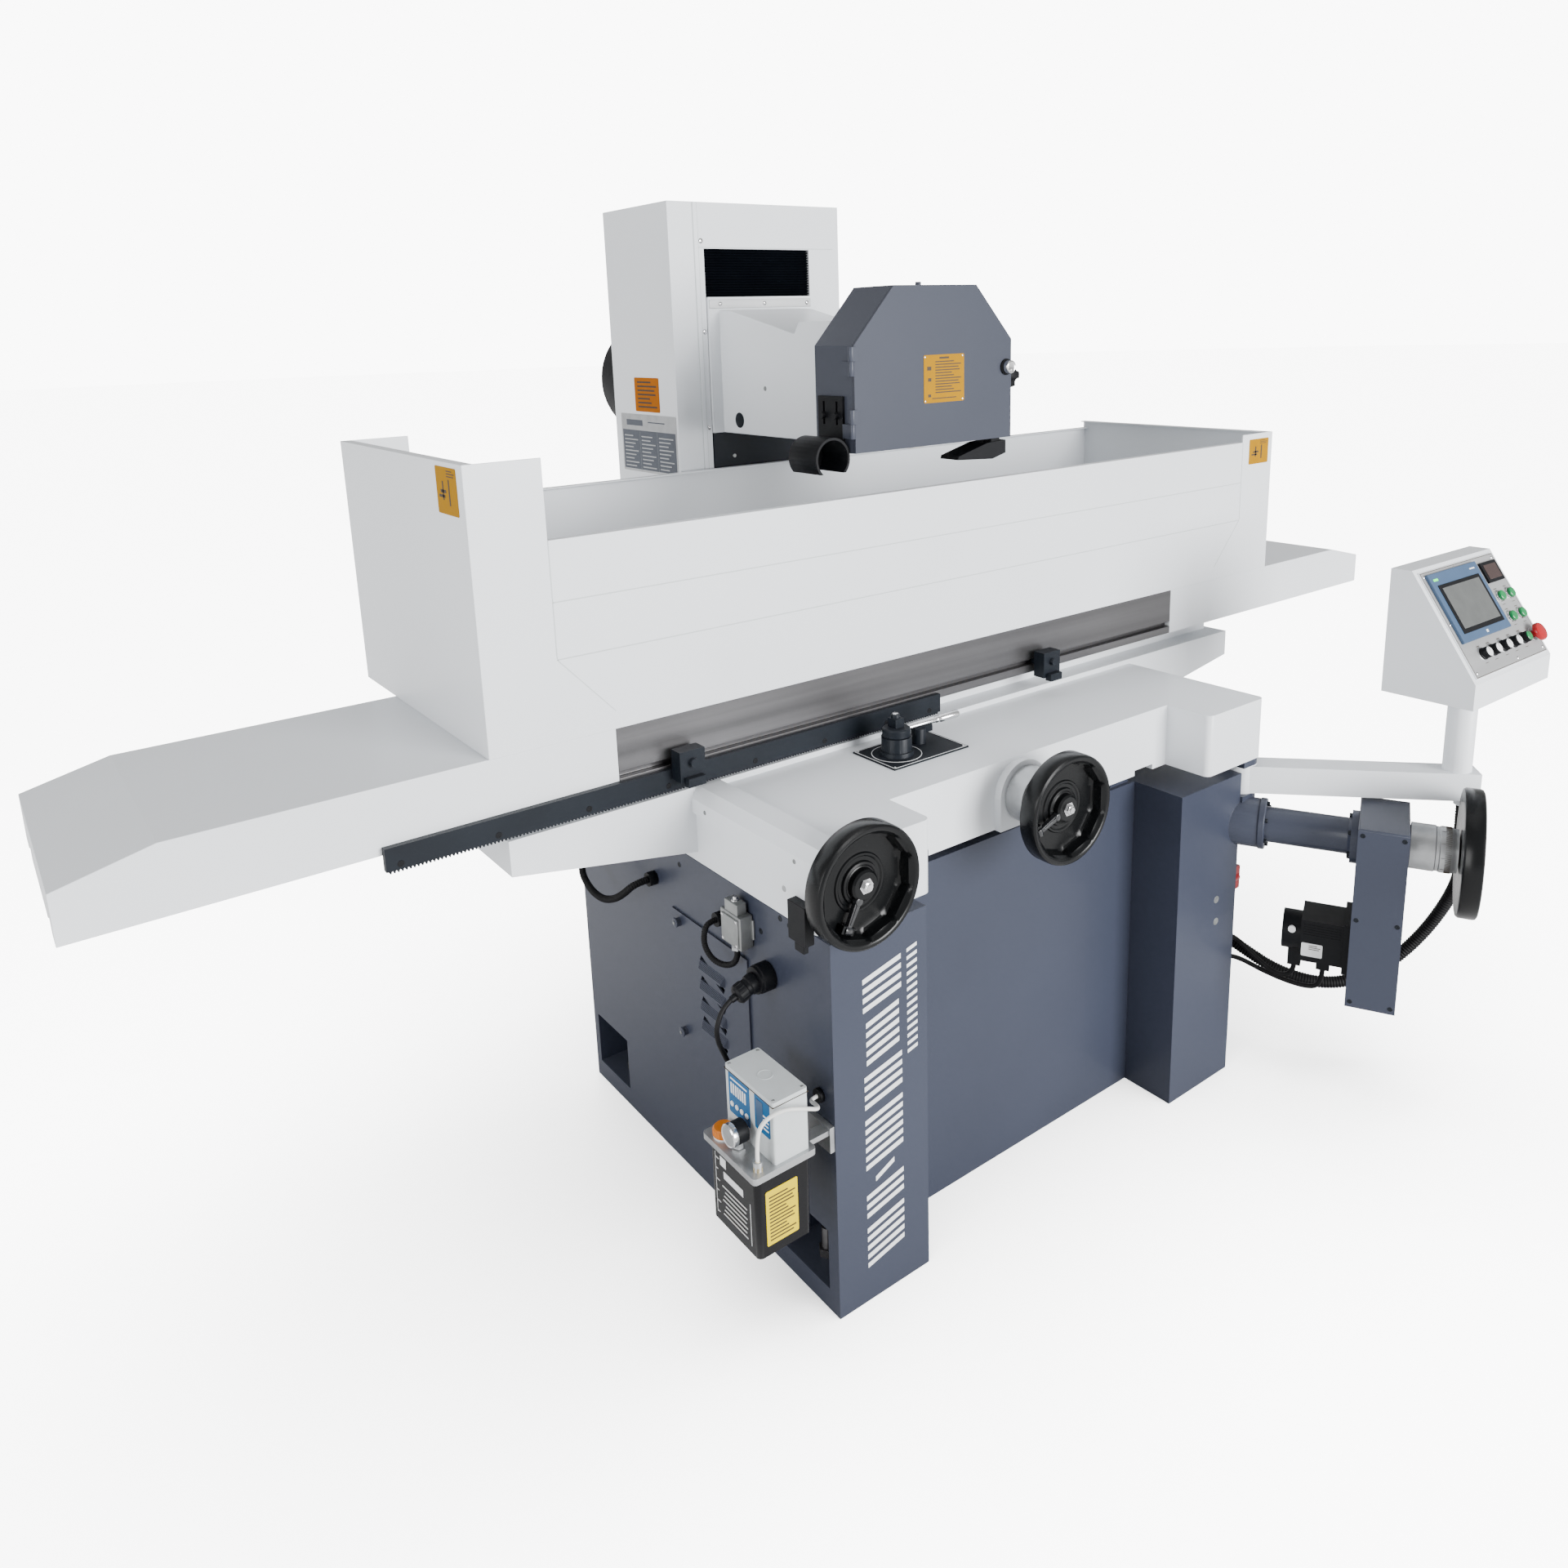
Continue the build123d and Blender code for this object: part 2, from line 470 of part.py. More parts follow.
# ---------------------------------------------------------------- saddle and table
def make_saddle():
    """The saddle: two front lobes, a flat deck, the long table bed and the table's ways."""
    screw_x, screw_z = CROSS_WHEEL_AT
    with BuildPart() as saddle:
        with BuildSketch(Plane.XY.offset(SADDLE_BOTTOM)):
            with BuildLine():
                Polyline((SADDLE_LEFT, SADDLE_FRONT), (SADDLE_LEFT + LOBE_LEFT, SADDLE_FRONT),
                         (SADDLE_LEFT + LOBE_LEFT, SADDLE_RECESS), (SADDLE_RIGHT - LOBE_RIGHT, SADDLE_RECESS),
                         (SADDLE_RIGHT - LOBE_RIGHT, SADDLE_FRONT), (SADDLE_RIGHT, SADDLE_FRONT),
                         (SADDLE_RIGHT, SADDLE_BACK), (SADDLE_LEFT, SADDLE_BACK), close=True)
            make_face()
        extrude(amount=SADDLE_TOP - SADDLE_BOTTOM)
        fillet(saddle.edges().filter_by(Axis.Z).group_by(Axis.Y)[0], 14)
        with BuildSketch(Plane.XZ.offset(-TABLE_FRONT)):
            with BuildLine():
                Polyline((-BED_HALF, BED_TOP), (-BED_HALF, BED_TOP - BED_TIP),
                         (SADDLE_LEFT, SADDLE_BOTTOM + 20), (SADDLE_LEFT, SADDLE_BOTTOM),
                         (SADDLE_RIGHT, SADDLE_BOTTOM), (SADDLE_RIGHT, SADDLE_BOTTOM + 20),
                         (BED_HALF, BED_TOP - BED_TIP), (BED_HALF, BED_TOP), close=True)
            make_face()
        extrude(amount=-TABLE_DEPTH)
        with BuildSketch(Plane.XZ.offset(-SADDLE_FRONT)):
            with BuildLine():
                Polyline((SADDLE_LEFT, SADDLE_TOP - 40), (SADDLE_LEFT - 8, SADDLE_TOP - 36),
                         (SADDLE_LEFT - 8, SADDLE_TOP - 8), (SADDLE_LEFT + 6, SADDLE_TOP + STRIP_RISE),
                         (SADDLE_LEFT - 8 + EDGE_STRIP, SADDLE_TOP + STRIP_RISE),
                         (SADDLE_LEFT + EDGE_STRIP, SADDLE_TOP - 1), (SADDLE_LEFT + 1, SADDLE_TOP - 1),
                         (SADDLE_LEFT + 1, SADDLE_TOP - 40), close=True)
            make_face()
        extrude(amount=-(TABLE_FRONT - SADDLE_FRONT))
        rod((screw_x, SADDLE_RECESS + 1, screw_z), (0, -1, 0), BOSS_RADIUS, BOSS_DEPTH + 1)
        block((screw_x - BOSS_RADIUS, screw_x + BOSS_RADIUS), (SADDLE_RECESS - BOSS_DEPTH, SADDLE_RECESS + 1),
              (screw_z - BOSS_RADIUS, screw_z))
        for side in (-1, 1):
            middle = side * WAY_SPACING / 2
            groove = WAY_WIDTH / 2 + SLIDE_GAP
            block((middle - groove, middle + groove), (SADDLE_FRONT + 50, SADDLE_BACK + 1),
                  (SADDLE_BOTTOM - 1, BASE_HEIGHT + WAY_HEIGHT), Mode.SUBTRACT)
            rail = TABLE_FRONT + TABLE_DEPTH / 2 + side * TABLE_WAY_SPACING / 2
            block((-BED_HALF + 20, BED_HALF - 20),
                  (rail - TABLE_WAY_WIDTH / 2, rail + TABLE_WAY_WIDTH / 2),
                  (BED_TOP - 1, BED_TOP + TABLE_WAY_HEIGHT - SLIDE_GAP))
        block((screw_x - 60, screw_x + 60), (SADDLE_RECESS + 60, SADDLE_BACK + 1),
              (SADDLE_BOTTOM - 1, screw_z + 50), Mode.SUBTRACT)
        rod((screw_x, SADDLE_FRONT, screw_z), (0, 1, 0), SCREW_RADIUS + RUNNING_FIT, 200, Mode.SUBTRACT)
        rod((TABLE_WHEEL_AT[0], SADDLE_FRONT - 1, TABLE_WHEEL_AT[1]), (0, 1, 0),
            HANDWHEEL_SHAFT + RUNNING_FIT, 91, Mode.SUBTRACT)
        rod((*VALVE_AT, SADDLE_TOP - 20), (0, 0, 1), 10 + RUNNING_FIT, 30, Mode.SUBTRACT)
    save(saddle, "saddle_casting")


def make_saddle_fittings():
    """The reversing valve's plate and hub, the cross-travel trip block and the reversing lever."""
    with BuildPart() as valve:
        block((-295, -100), (-388, -262), (SADDLE_TOP, SADDLE_TOP + 3))
        rod((*VALVE_AT, SADDLE_TOP), (0, 0, 1), VALVE_RADIUS + 4, 12)
        rod((*VALVE_AT, SADDLE_TOP), (0, 0, 1), VALVE_RADIUS, 40)
        rod((-160, -306, SADDLE_TOP), (0, 0, 1), 15, 34)
        block((-174, -128), (-313, -299), (SADDLE_TOP + 22, SADDLE_TOP + 36))
        rod((*VALVE_AT, SADDLE_TOP - 1), (0, 0, 1), 10 + RUNNING_FIT, 50, Mode.SUBTRACT)
    save(valve, "reversing_valve")
    with BuildPart() as lever:
        level = SADDLE_TOP + 40 + SLIDE_GAP
        rod((*VALVE_AT, SADDLE_TOP - 15), (0, 0, 1), 10, 60)
        rod((*VALVE_AT, level), (0, 0, 1), VALVE_RADIUS - 2, 18)
        rod((VALVE_AT[0] + 10, VALVE_AT[1], level + 9), (1, -0.12, 0.05), 5.5, 90)
        rod((VALVE_AT[0] + 92, VALVE_AT[1] - 9.8, level + 13), (1, -0.12, 0.05), 8, 52)
        block((VALVE_AT[0] - 10, VALVE_AT[0] + 12), (VALVE_AT[1] - 10, VALVE_AT[1] + 14),
              (level + 17, level + 36))
        rod((VALVE_AT[0], VALVE_AT[1] + 2, level + 34), (0, 0, 1), 9, 12)
    save(lever, "reversing_lever")
    with BuildPart() as trip:
        block((SADDLE_LEFT - 18, SADDLE_LEFT), (-583, -535), (780, 850))
        block((SADDLE_LEFT - 14, SADDLE_LEFT - 4), (-572, -546), (762, 784))
    save(trip, "trip_block")


def make_table():
    """The table with its front T-slot, the magnetic chuck, the rack and the two trip dogs."""
    with BuildPart() as table:
        block((TABLE_LEFT, TABLE_RIGHT), (TABLE_FRONT, TABLE_BACK), (TABLE_BOTTOM, TABLE_TOP))
        block((TABLE_LEFT - 1, TABLE_RIGHT + 1), (TABLE_FRONT - 1, TABLE_FRONT + 14),
              (SLOT_LEVEL - SLOT_HEIGHT / 2, SLOT_LEVEL + SLOT_HEIGHT / 2), Mode.SUBTRACT)
        for side in (-1, 1):
            rail = TABLE_FRONT + TABLE_DEPTH / 2 + side * TABLE_WAY_SPACING / 2
            groove = TABLE_WAY_WIDTH / 2 + SLIDE_GAP
            block((TABLE_LEFT - 1, TABLE_RIGHT + 1), (rail - groove, rail + groove),
                  (TABLE_BOTTOM - 1, BED_TOP + TABLE_WAY_HEIGHT), Mode.SUBTRACT)
    save(table, "table_casting")
    middle = (TABLE_LEFT + TABLE_RIGHT) / 2
    with BuildPart() as chuck:
        block((middle - CHUCK_LENGTH / 2, middle + CHUCK_LENGTH / 2),
              (TABLE_BACK - CHUCK_WIDTH - 4, TABLE_BACK - 4),
              (TABLE_TOP + SHEET, TABLE_TOP + SHEET + CHUCK_HEIGHT))
        chamfer(chuck.faces().sort_by(Axis.Z)[-1].edges(), 2)
    save(chuck, "magnetic_chuck")
    with BuildPart() as rack:
        block((RACK_LEFT, RACK_RIGHT), (TABLE_FRONT - RACK_THICK, TABLE_FRONT),
              (RACK_BOTTOM, RACK_BOTTOM + RACK_HEIGHT))
    save(rack, "rack")
    for name, middle in (("left_trip_dog", DOG_LEFT), ("right_trip_dog", DOG_RIGHT)):
        with BuildPart() as dog:
            back = TABLE_FRONT - RACK_THICK - SLIDE_GAP
            span = (middle - DOG_WIDTH / 2, middle + DOG_WIDTH / 2)
            block(span, (back - 30, back), (RACK_BOTTOM + 24, SLOT_LEVEL + 28))
            block((middle - 14, middle + 14), (back - 1, TABLE_FRONT + 10),
                  (SLOT_LEVEL - SLOT_HEIGHT / 2 + SLIDE_GAP, SLOT_LEVEL + SLOT_HEIGHT / 2 - SLIDE_GAP))
            block((middle - 18, middle + 18), (back - 44, back - 28), (RACK_BOTTOM + 18, RACK_BOTTOM + 34))
            rod((middle, back - 29, SLOT_LEVEL + 6), (0, -1, 0), 8, 10)
        save(dog, name)


def make_table_covers():
    """The sheet covers that run out from both ends of the table."""
    with BuildPart() as covers:
        for side, inner in ((-1, -TABLE_LEFT), (1, TABLE_RIGHT)):
            plane = Plane.XZ.offset(-TABLE_FRONT)
            with BuildSketch(plane):
                with BuildLine():
                    Polyline((side * inner, TABLE_BOTTOM), (side * inner, COVER_TOP),
                             (side * COVER_FOLD, COVER_TOP), (side * COVER_REACH, COVER_TOP - COVER_END_DROP),
                             (side * COVER_REACH, TABLE_BOTTOM), close=True)
                make_face()
            extrude(amount=-TABLE_DEPTH)
            with BuildSketch(plane.offset(-SHEET)):
                with BuildLine():
                    Polyline((side * (inner + SHEET), TABLE_BOTTOM - 1), (side * (inner + SHEET), COVER_TOP - SHEET),
                             (side * COVER_FOLD, COVER_TOP - SHEET),
                             (side * (COVER_REACH - SHEET), COVER_TOP - COVER_END_DROP - SHEET),
                             (side * (COVER_REACH - SHEET), TABLE_BOTTOM - 1), close=True)
                make_face()
            extrude(amount=-(TABLE_DEPTH - 2 * SHEET), mode=Mode.SUBTRACT)
            for spot in (-1, 1):
                rail = TABLE_FRONT + TABLE_DEPTH / 2 + spot * TABLE_WAY_SPACING / 2
                gap = TABLE_WAY_WIDTH / 2 + 3
                walls = sorted((side * (inner - 1), side * (COVER_REACH + 1)))
                block(walls, (rail - gap, rail + gap),
                      (TABLE_BOTTOM - 1, BED_TOP + TABLE_WAY_HEIGHT + 3), Mode.SUBTRACT)
    save(covers, "table_covers")


def make_table_guard():
    """The splash guard: a tray with end and back walls, and a lower front panel between two wings."""
    with BuildPart() as walls:
        block((GUARD_LEFT, GUARD_RIGHT), (TABLE_FRONT, GUARD_BACK), (TABLE_TOP, TABLE_TOP + SHEET))
        block((GUARD_LEFT, GUARD_LEFT + SHEET), (TABLE_FRONT, GUARD_BACK), (TABLE_TOP, GUARD_LEFT_TOP))
        block((GUARD_RIGHT - SHEET, GUARD_RIGHT), (TABLE_FRONT, GUARD_BACK), (TABLE_TOP, GUARD_RIGHT_TOP))
        block((GUARD_LEFT, GUARD_RIGHT), (GUARD_BACK - SHEET, GUARD_BACK), (TABLE_TOP, GUARD_TOP))
        block((GUARD_LEFT, GUARD_LEFT + GUARD_WING), (GUARD_BACK - SHEET, GUARD_BACK),
              (TABLE_TOP, GUARD_LEFT_TOP))
    save(walls, "guard_tray")
    with BuildPart() as front:
        face = (TABLE_FRONT - SHEET, TABLE_FRONT)
        block((GUARD_LEFT, GUARD_RIGHT), face, (TABLE_TOP, GUARD_TOP))
        block((GUARD_LEFT, GUARD_LEFT + GUARD_WING), face, (TABLE_TOP, GUARD_LEFT_TOP))
        block((GUARD_RIGHT - GUARD_WING, GUARD_RIGHT), face, (TABLE_TOP, GUARD_RIGHT_TOP))
        block((GUARD_LEFT + GUARD_WING, GUARD_RIGHT - GUARD_WING), (TABLE_FRONT - 1, TABLE_FRONT + 14),
              (GUARD_TOP - SHEET, GUARD_TOP))
    save(front, "guard_front")


# ---------------------------------------------------------------- column and wheel head
def make_column():
    """The hollow column with a front opening for the head and a back opening for its motor."""
    half = COLUMN_WIDTH / 2
    with BuildPart() as column:
        block((-half, half), (COLUMN_FRONT, COLUMN_BACK), (BASE_HEIGHT, COLUMN_TOP))
        block((-half + COLUMN_WALL, half - COLUMN_WALL),
              (COLUMN_FRONT + COLUMN_WALL, COLUMN_BACK - COLUMN_WALL),
              (BASE_HEIGHT + COLUMN_WALL, COLUMN_TOP - COLUMN_WALL), Mode.SUBTRACT)
        block((-COLUMN_SLOT / 2, COLUMN_SLOT / 2), (COLUMN_FRONT - 1, COLUMN_FRONT + COLUMN_WALL + 1),
              (COLUMN_SLOT_BOTTOM, COLUMN_SLOT_TOP), Mode.SUBTRACT)
        block((-MOTOR_RADIUS - 6, MOTOR_RADIUS + 6), (COLUMN_BACK - COLUMN_WALL - 1, COLUMN_BACK + 1),
              (SPINDLE_HEIGHT - HEAD_DOWN - MOTOR_RADIUS - 8, SPINDLE_HEIGHT + HEAD_UP + MOTOR_RADIUS + 8),
              Mode.SUBTRACT)
        rod((SCREW_X, SCREW_Y, BASE_HEIGHT + 5), (0, 0, 1), SCREW_RADIUS + RUNNING_FIT, 40, Mode.SUBTRACT)
    save(column, "column")


def make_head():
    """The wheel head: its white casting, the dark plate below it, the motor and the bellows above."""
    plate_half = COLUMN_SLOT / 2 - 1.5
    with BuildPart() as head:
        with BuildSketch(Plane.YZ.offset(-HEAD_HALF)):
            with BuildLine():
                Polyline((HEAD_NOSE, HEAD_BOTTOM), (COLUMN_FRONT + 8, HEAD_BOTTOM),
                         (COLUMN_FRONT + 8, HEAD_PLATE_TOP - 30), (COLUMN_FRONT - 50, 1802), (130, 1746),
                         (112, 1771), (HEAD_NOSE, 1771), close=True)
            make_face()
        extrude(amount=2 * HEAD_HALF)
        block((-plate_half, plate_half), (COLUMN_FRONT - 6, COLUMN_FRONT + 8), (HEAD_BOTTOM, HEAD_PLATE_TOP))
        block((-plate_half, plate_half), (COLUMN_FRONT + 7, COLUMN_FRONT + 90), (HEAD_BOTTOM, 1760))
        block((HEAD_HALF, SCREW_X + 26), (COLUMN_FRONT + COLUMN_WALL + 3, SCREW_Y + 28), (1600, 1680))
        rod((SCREW_X, SCREW_Y, 1590), (0, 0, 1), SCREW_RADIUS + RUNNING_FIT, 100, Mode.SUBTRACT)
        rod((0, HEAD_NOSE - 1, SPINDLE_HEIGHT), (0, 1, 0), 30 + RUNNING_FIT, 600, Mode.SUBTRACT)
    save(head, "head_casting")
    with BuildPart() as skirt:
        block((-plate_half, plate_half), (COLUMN_FRONT - 4, COLUMN_FRONT + 8),
              (HEAD_BOTTOM - SKIRT_HEIGHT, HEAD_BOTTOM))
    save(skirt, "head_skirt")
    with BuildPart() as motor:
        rod((0, COLUMN_FRONT + 90, SPINDLE_HEIGHT), (0, 1, 0), MOTOR_RADIUS, MOTOR_BACK - COLUMN_FRONT - 90)
        rod((0, COWL_FRONT, SPINDLE_HEIGHT), (0, 1, 0), COWL_RADIUS, MOTOR_BACK - COWL_FRONT)
        fillet(motor.faces().sort_by(Axis.Y)[-1].edges(), 14)
        rod((0, COLUMN_FRONT + 80, SPINDLE_HEIGHT), (0, 1, 0), 30 + RUNNING_FIT, 200, Mode.SUBTRACT)
    save(motor, "spindle_motor")
    with BuildPart() as bellows:
        block((-plate_half, plate_half), (COLUMN_FRONT - 2, COLUMN_FRONT + 8),
              (HEAD_PLATE_TOP, COLUMN_SLOT_TOP - 1))
    save(bellows, "column_bellows")


def guard_profile(inset):
    """The corners of the wheel guard's outline, inside its outer faces by inset."""
    side = GUARD_HALF - inset
    crown = GUARD_CROWN - inset * 0.45
    shoulder = WHEEL_GUARD_SHOULDER - inset * 0.45
    top = WHEEL_GUARD_TOP - inset
    return ((-side, WHEEL_GUARD_BOTTOM), (-side, shoulder), (-crown, top), (crown, top),
            (side, shoulder), (side, WHEEL_GUARD_BOTTOM))


def make_wheel_guard():
    """The wheel guard's body, its door, the door's latch and the coolant nozzle."""
    body_front = WHEEL_GUARD_FRONT + DOOR + 0.6
    with BuildPart() as guard:
        with BuildSketch(Plane.XZ.offset(-body_front)):
            with BuildLine():
                Polyline(*guard_profile(0), close=True)
            make_face()
        extrude(amount=-(WHEEL_GUARD_BACK - body_front))
        with BuildSketch(Plane.XZ.offset(-body_front + 1)):
            with BuildLine():
                Polyline(*guard_profile(SHEET), close=True)
            make_face()
        extrude(amount=-(WHEEL_GUARD_BACK - body_front - SHEET + 1), mode=Mode.SUBTRACT)
        block((-GUARD_HALF + SHEET, GUARD_HALF - SHEET), (body_front - 1, WHEEL_GUARD_BACK - SHEET),
              (WHEEL_GUARD_BOTTOM - 1, WHEEL_GUARD_BOTTOM + 40), Mode.SUBTRACT)
        block((-HEAD_HALF, HEAD_HALF), (WHEEL_GUARD_BACK - 1, HEAD_NOSE), (HEAD_BOTTOM, 1770))
        rod((0, WHEEL_GUARD_BACK - 10, SPINDLE_HEIGHT), (0, 1, 0), 30 + RUNNING_FIT, 20, Mode.SUBTRACT)
        rod((0, -140, WHEEL_GUARD_TOP - 1), (0, 0, 1), 6, 9)
        for level in HINGE_LEVELS:
            block((HINGE_AT[0] - 2, -GUARD_HALF + 1), (body_front + 4, body_front + 24),
                  (level, level + HINGE_LENGTH / 2))
            block((HINGE_AT[0] - 2, HINGE_AT[0] + 2), (HINGE_AT[1], body_front + 5),
                  (level, level + HINGE_LENGTH / 2))
            rod((*HINGE_AT, level), (0, 0, 1), HINGE_RADIUS, HINGE_LENGTH / 2)
            rod((*HINGE_AT, level), (0, 0, 1), HINGE_PIN, HINGE_LENGTH)
    save(guard, "wheel_guard")
    with BuildPart() as door:
        with BuildSketch(Plane.XZ.offset(-WHEEL_GUARD_FRONT - DOOR)):
            with BuildLine():
                Polyline(*guard_profile(0), close=True)
            make_face()
        extrude(amount=DOOR)
        rod((GUARD_HALF - 16, WHEEL_GUARD_FRONT - DOOR - 1, LATCH_HEIGHT), (0, 1, 0), 8 + RUNNING_FIT, 30,
            Mode.SUBTRACT)
        for level in HINGE_LEVELS:
            low = level + HINGE_LENGTH / 2 + SLIDE_GAP
            rod((*HINGE_AT, low), (0, 0, 1), HINGE_RADIUS, HINGE_LENGTH / 2 - SLIDE_GAP)
            block((HINGE_AT[0], -GUARD_HALF + 4), (HINGE_AT[1] - 6, HINGE_AT[1] - 0.5),
                  (low, low + HINGE_LENGTH / 2 - SLIDE_GAP))
            rod((*HINGE_AT, level), (0, 0, 1), HINGE_PIN + RUNNING_FIT, HINGE_LENGTH + 1, Mode.SUBTRACT)
    save(door, "guard_door")


def make_latch_and_nozzle():
    """The door's round latch, the coolant scoop with its slotted bracket, and the wedge nozzle with its knob."""
    with BuildPart() as latch:
        face = WHEEL_GUARD_FRONT
        rod((GUARD_HALF - 16, face - SLIDE_GAP - 5, LATCH_HEIGHT), (0, -1, 0), 14, 14)
        rod((GUARD_HALF - 16, face - 10, LATCH_HEIGHT), (0, 1, 0), 8, 16)
    save(latch, "guard_latch")
    with BuildPart() as nozzle:
        block((-GUARD_HALF - 6, -GUARD_HALF), (-162, -84), (1500, 1626))
        for middle in (-144, -103):
            block((-GUARD_HALF - 7, -GUARD_HALF + 1), (middle - 3, middle + 3), (1570, 1616), Mode.SUBTRACT)
            rod((-GUARD_HALF - 6, middle, 1588), (-1, 0, 0), 7, 8)
        rod((-GUARD_HALF - 44, -178, SCOOP_LEVEL), (0, 1, 0), SCOOP_RADIUS, 90)
        rod((-GUARD_HALF - 44, -185, SCOOP_LEVEL), (0, 1, 0), SCOOP_RADIUS - 5, 90, Mode.SUBTRACT)
        block((-GUARD_HALF - 90, -GUARD_HALF - 1), (-200, -80), (SCOOP_LEVEL - 50, SCOOP_LEVEL - 28),
              Mode.SUBTRACT)
        with BuildSketch(Plane.XZ.offset(190)):
            with BuildLine():
                Polyline((63, 1478), (65, 1485), (150, 1507), (205, 1510), (205, 1482), (165, 1472), close=True)
            make_face()
        extrude(amount=-54)
        block((165, 190), (-186, -164), (1490, 1532))
        block((165, GUARD_HALF - SHEET), (-186, -164), (1520, 1532))
        rod((GUARD_HALF, KNOB_AT[0], KNOB_AT[1]), (1, 0, 0), 8, 18)
        rod((GUARD_HALF + 16, KNOB_AT[0], KNOB_AT[1]), (1, 0, 0), 27, 28)
        for turn in range(0, 360, 72):
            side, rise = 31 * cos(radians(turn)), 31 * sin(radians(turn))
            rod((GUARD_HALF + 15, KNOB_AT[0] + side, KNOB_AT[1] + rise), (1, 0, 0), 11, 30, Mode.SUBTRACT)
    save(nozzle, "coolant_nozzle")


def make_spindle():
    """The spindle with its flanges and nut, and the grinding wheel between them."""
    wheel_front = WHEEL_MIDDLE - WHEEL_WIDTH / 2
    wheel_back = WHEEL_MIDDLE + WHEEL_WIDTH / 2
    with BuildPart() as spindle:
        rod((0, wheel_back, SPINDLE_HEIGHT), (0, 1, 0), 30, COLUMN_FRONT + 250 - wheel_back)
        rod((0, wheel_front - 22, SPINDLE_HEIGHT), (0, 1, 0), 19, WHEEL_WIDTH + 30)
        rod((0, wheel_front - 10, SPINDLE_HEIGHT), (0, 1, 0), 52, 10)
        rod((0, wheel_back, SPINDLE_HEIGHT), (0, 1, 0), 52, 12)
    save(spindle, "spindle")
    with BuildPart() as wheel:
        rod((0, wheel_front, SPINDLE_HEIGHT), (0, 1, 0), WHEEL_RADIUS, WHEEL_WIDTH)
        rod((0, wheel_front - 1, SPINDLE_HEIGHT), (0, 1, 0), 19, WHEEL_WIDTH + 2, Mode.SUBTRACT)
    save(wheel, "grinding_wheel")


# ---------------------------------------------------------------- screws and handwheels
def make_screws():
    """The cross-feed screw under the deck and the elevating screw in the column."""
    screw_x, screw_z = CROSS_WHEEL_AT
    with BuildPart() as cross:
        rod((screw_x, SADDLE_RECESS - BOSS_DEPTH, screw_z), (0, 1, 0), SCREW_RADIUS,
            SADDLE_BACK - SADDLE_RECESS + BOSS_DEPTH - 20)
    save(cross, "cross_screw")
    with BuildPart() as lift:
        rod((SCREW_X, SCREW_Y, BASE_HEIGHT + 6), (0, 0, 1), SCREW_RADIUS,
            COLUMN_TOP - COLUMN_WALL - BASE_HEIGHT - 16)
    save(lift, "elevating_screw")


def make_handwheel(name, plane, radius, standoff, shaft, turn, collar):
    """A dished handwheel and its fold-flat handle, on a plane whose Z points at the operator."""
    pivot = radius - RIM_WALL - HANDLE_EYE - 6
    level = standoff + WEB + HANDLE_EYE + 4
    direction = Vector(cos(radians(turn)), sin(radians(turn)), 0)
    across = Vector(-direction.Y, direction.X, 0)
    with BuildPart(plane) as wheel:
        rods([(0, 0)], standoff, radius, RIM_DEPTH)
        rods([(0, 0)], standoff - 1, radius - RIM_WALL, RIM_DEPTH + 2, Mode.SUBTRACT)
        rods([(0, 0)], standoff, radius - 1, WEB)
        rods([(0, 0)], standoff, HUB_RADIUS, RIM_DEPTH - 6)
        rods([(0, 0)], standoff + RIM_DEPTH - 7, 13, 11)
        rods([(0, 0)], -shaft, HANDWHEEL_SHAFT, shaft + standoff + 1)
        if collar:
            rods([(0, 0)], 2, collar, standoff - 1)
        for side in (-1, 1):
            foot = direction * pivot + across * side * 10.5
            with Locations(Location((foot.X, foot.Y, (standoff + WEB + level) / 2 + 2), (0, 0, turn))):
                Box(14, 6, level - standoff - WEB + 6)
        pin = direction * pivot - across * 11
        rod((pin.X, pin.Y, level), tuple(across), HANDLE_PIN, 22)
    save(wheel, name)
    with BuildPart(plane) as handle:
        eye = direction * pivot - across * 7
        rod((eye.X, eye.Y, level), tuple(across), HANDLE_EYE, 14)
        length = pivot - HUB_RADIUS - 8
        middle = direction * (pivot - length / 2)
        with Locations(Location((middle.X, middle.Y, level), (0, 0, turn))):
            Box(length, 14, 12)
        grip = direction * (HUB_RADIUS + 12)
        rod((grip.X, grip.Y, level - 6), (0, 0, 1), 9, 13)
        rod((eye.X - across.X, eye.Y - across.Y, level), tuple(across), HANDLE_PIN + RUNNING_FIT, 16,
            Mode.SUBTRACT)
    save(handle, name.replace("handwheel", "handle"))


def make_handwheels():
    """The table, cross-feed and elevating handwheels."""
    front = {"x_dir": (1, 0, 0), "z_dir": (0, -1, 0)}
    table = Plane(origin=(TABLE_WHEEL_AT[0], SADDLE_FRONT, TABLE_WHEEL_AT[1]), **front)
    cross = Plane(origin=(CROSS_WHEEL_AT[0], SADDLE_RECESS - BOSS_DEPTH, CROSS_WHEEL_AT[1]), **front)
    make_handwheel("table_handwheel", table, HANDWHEEL_RADIUS, 6, 86, -118, 30)
    make_handwheel("cross_handwheel", cross, HANDWHEEL_RADIUS, 84, 0, 200, 56)
    make_handwheel("elevating_handwheel", ELEVATING.offset(GEARBOX_FRONT), ELEVATING_WHEEL_RADIUS,
                   96, 66, 60, 50)


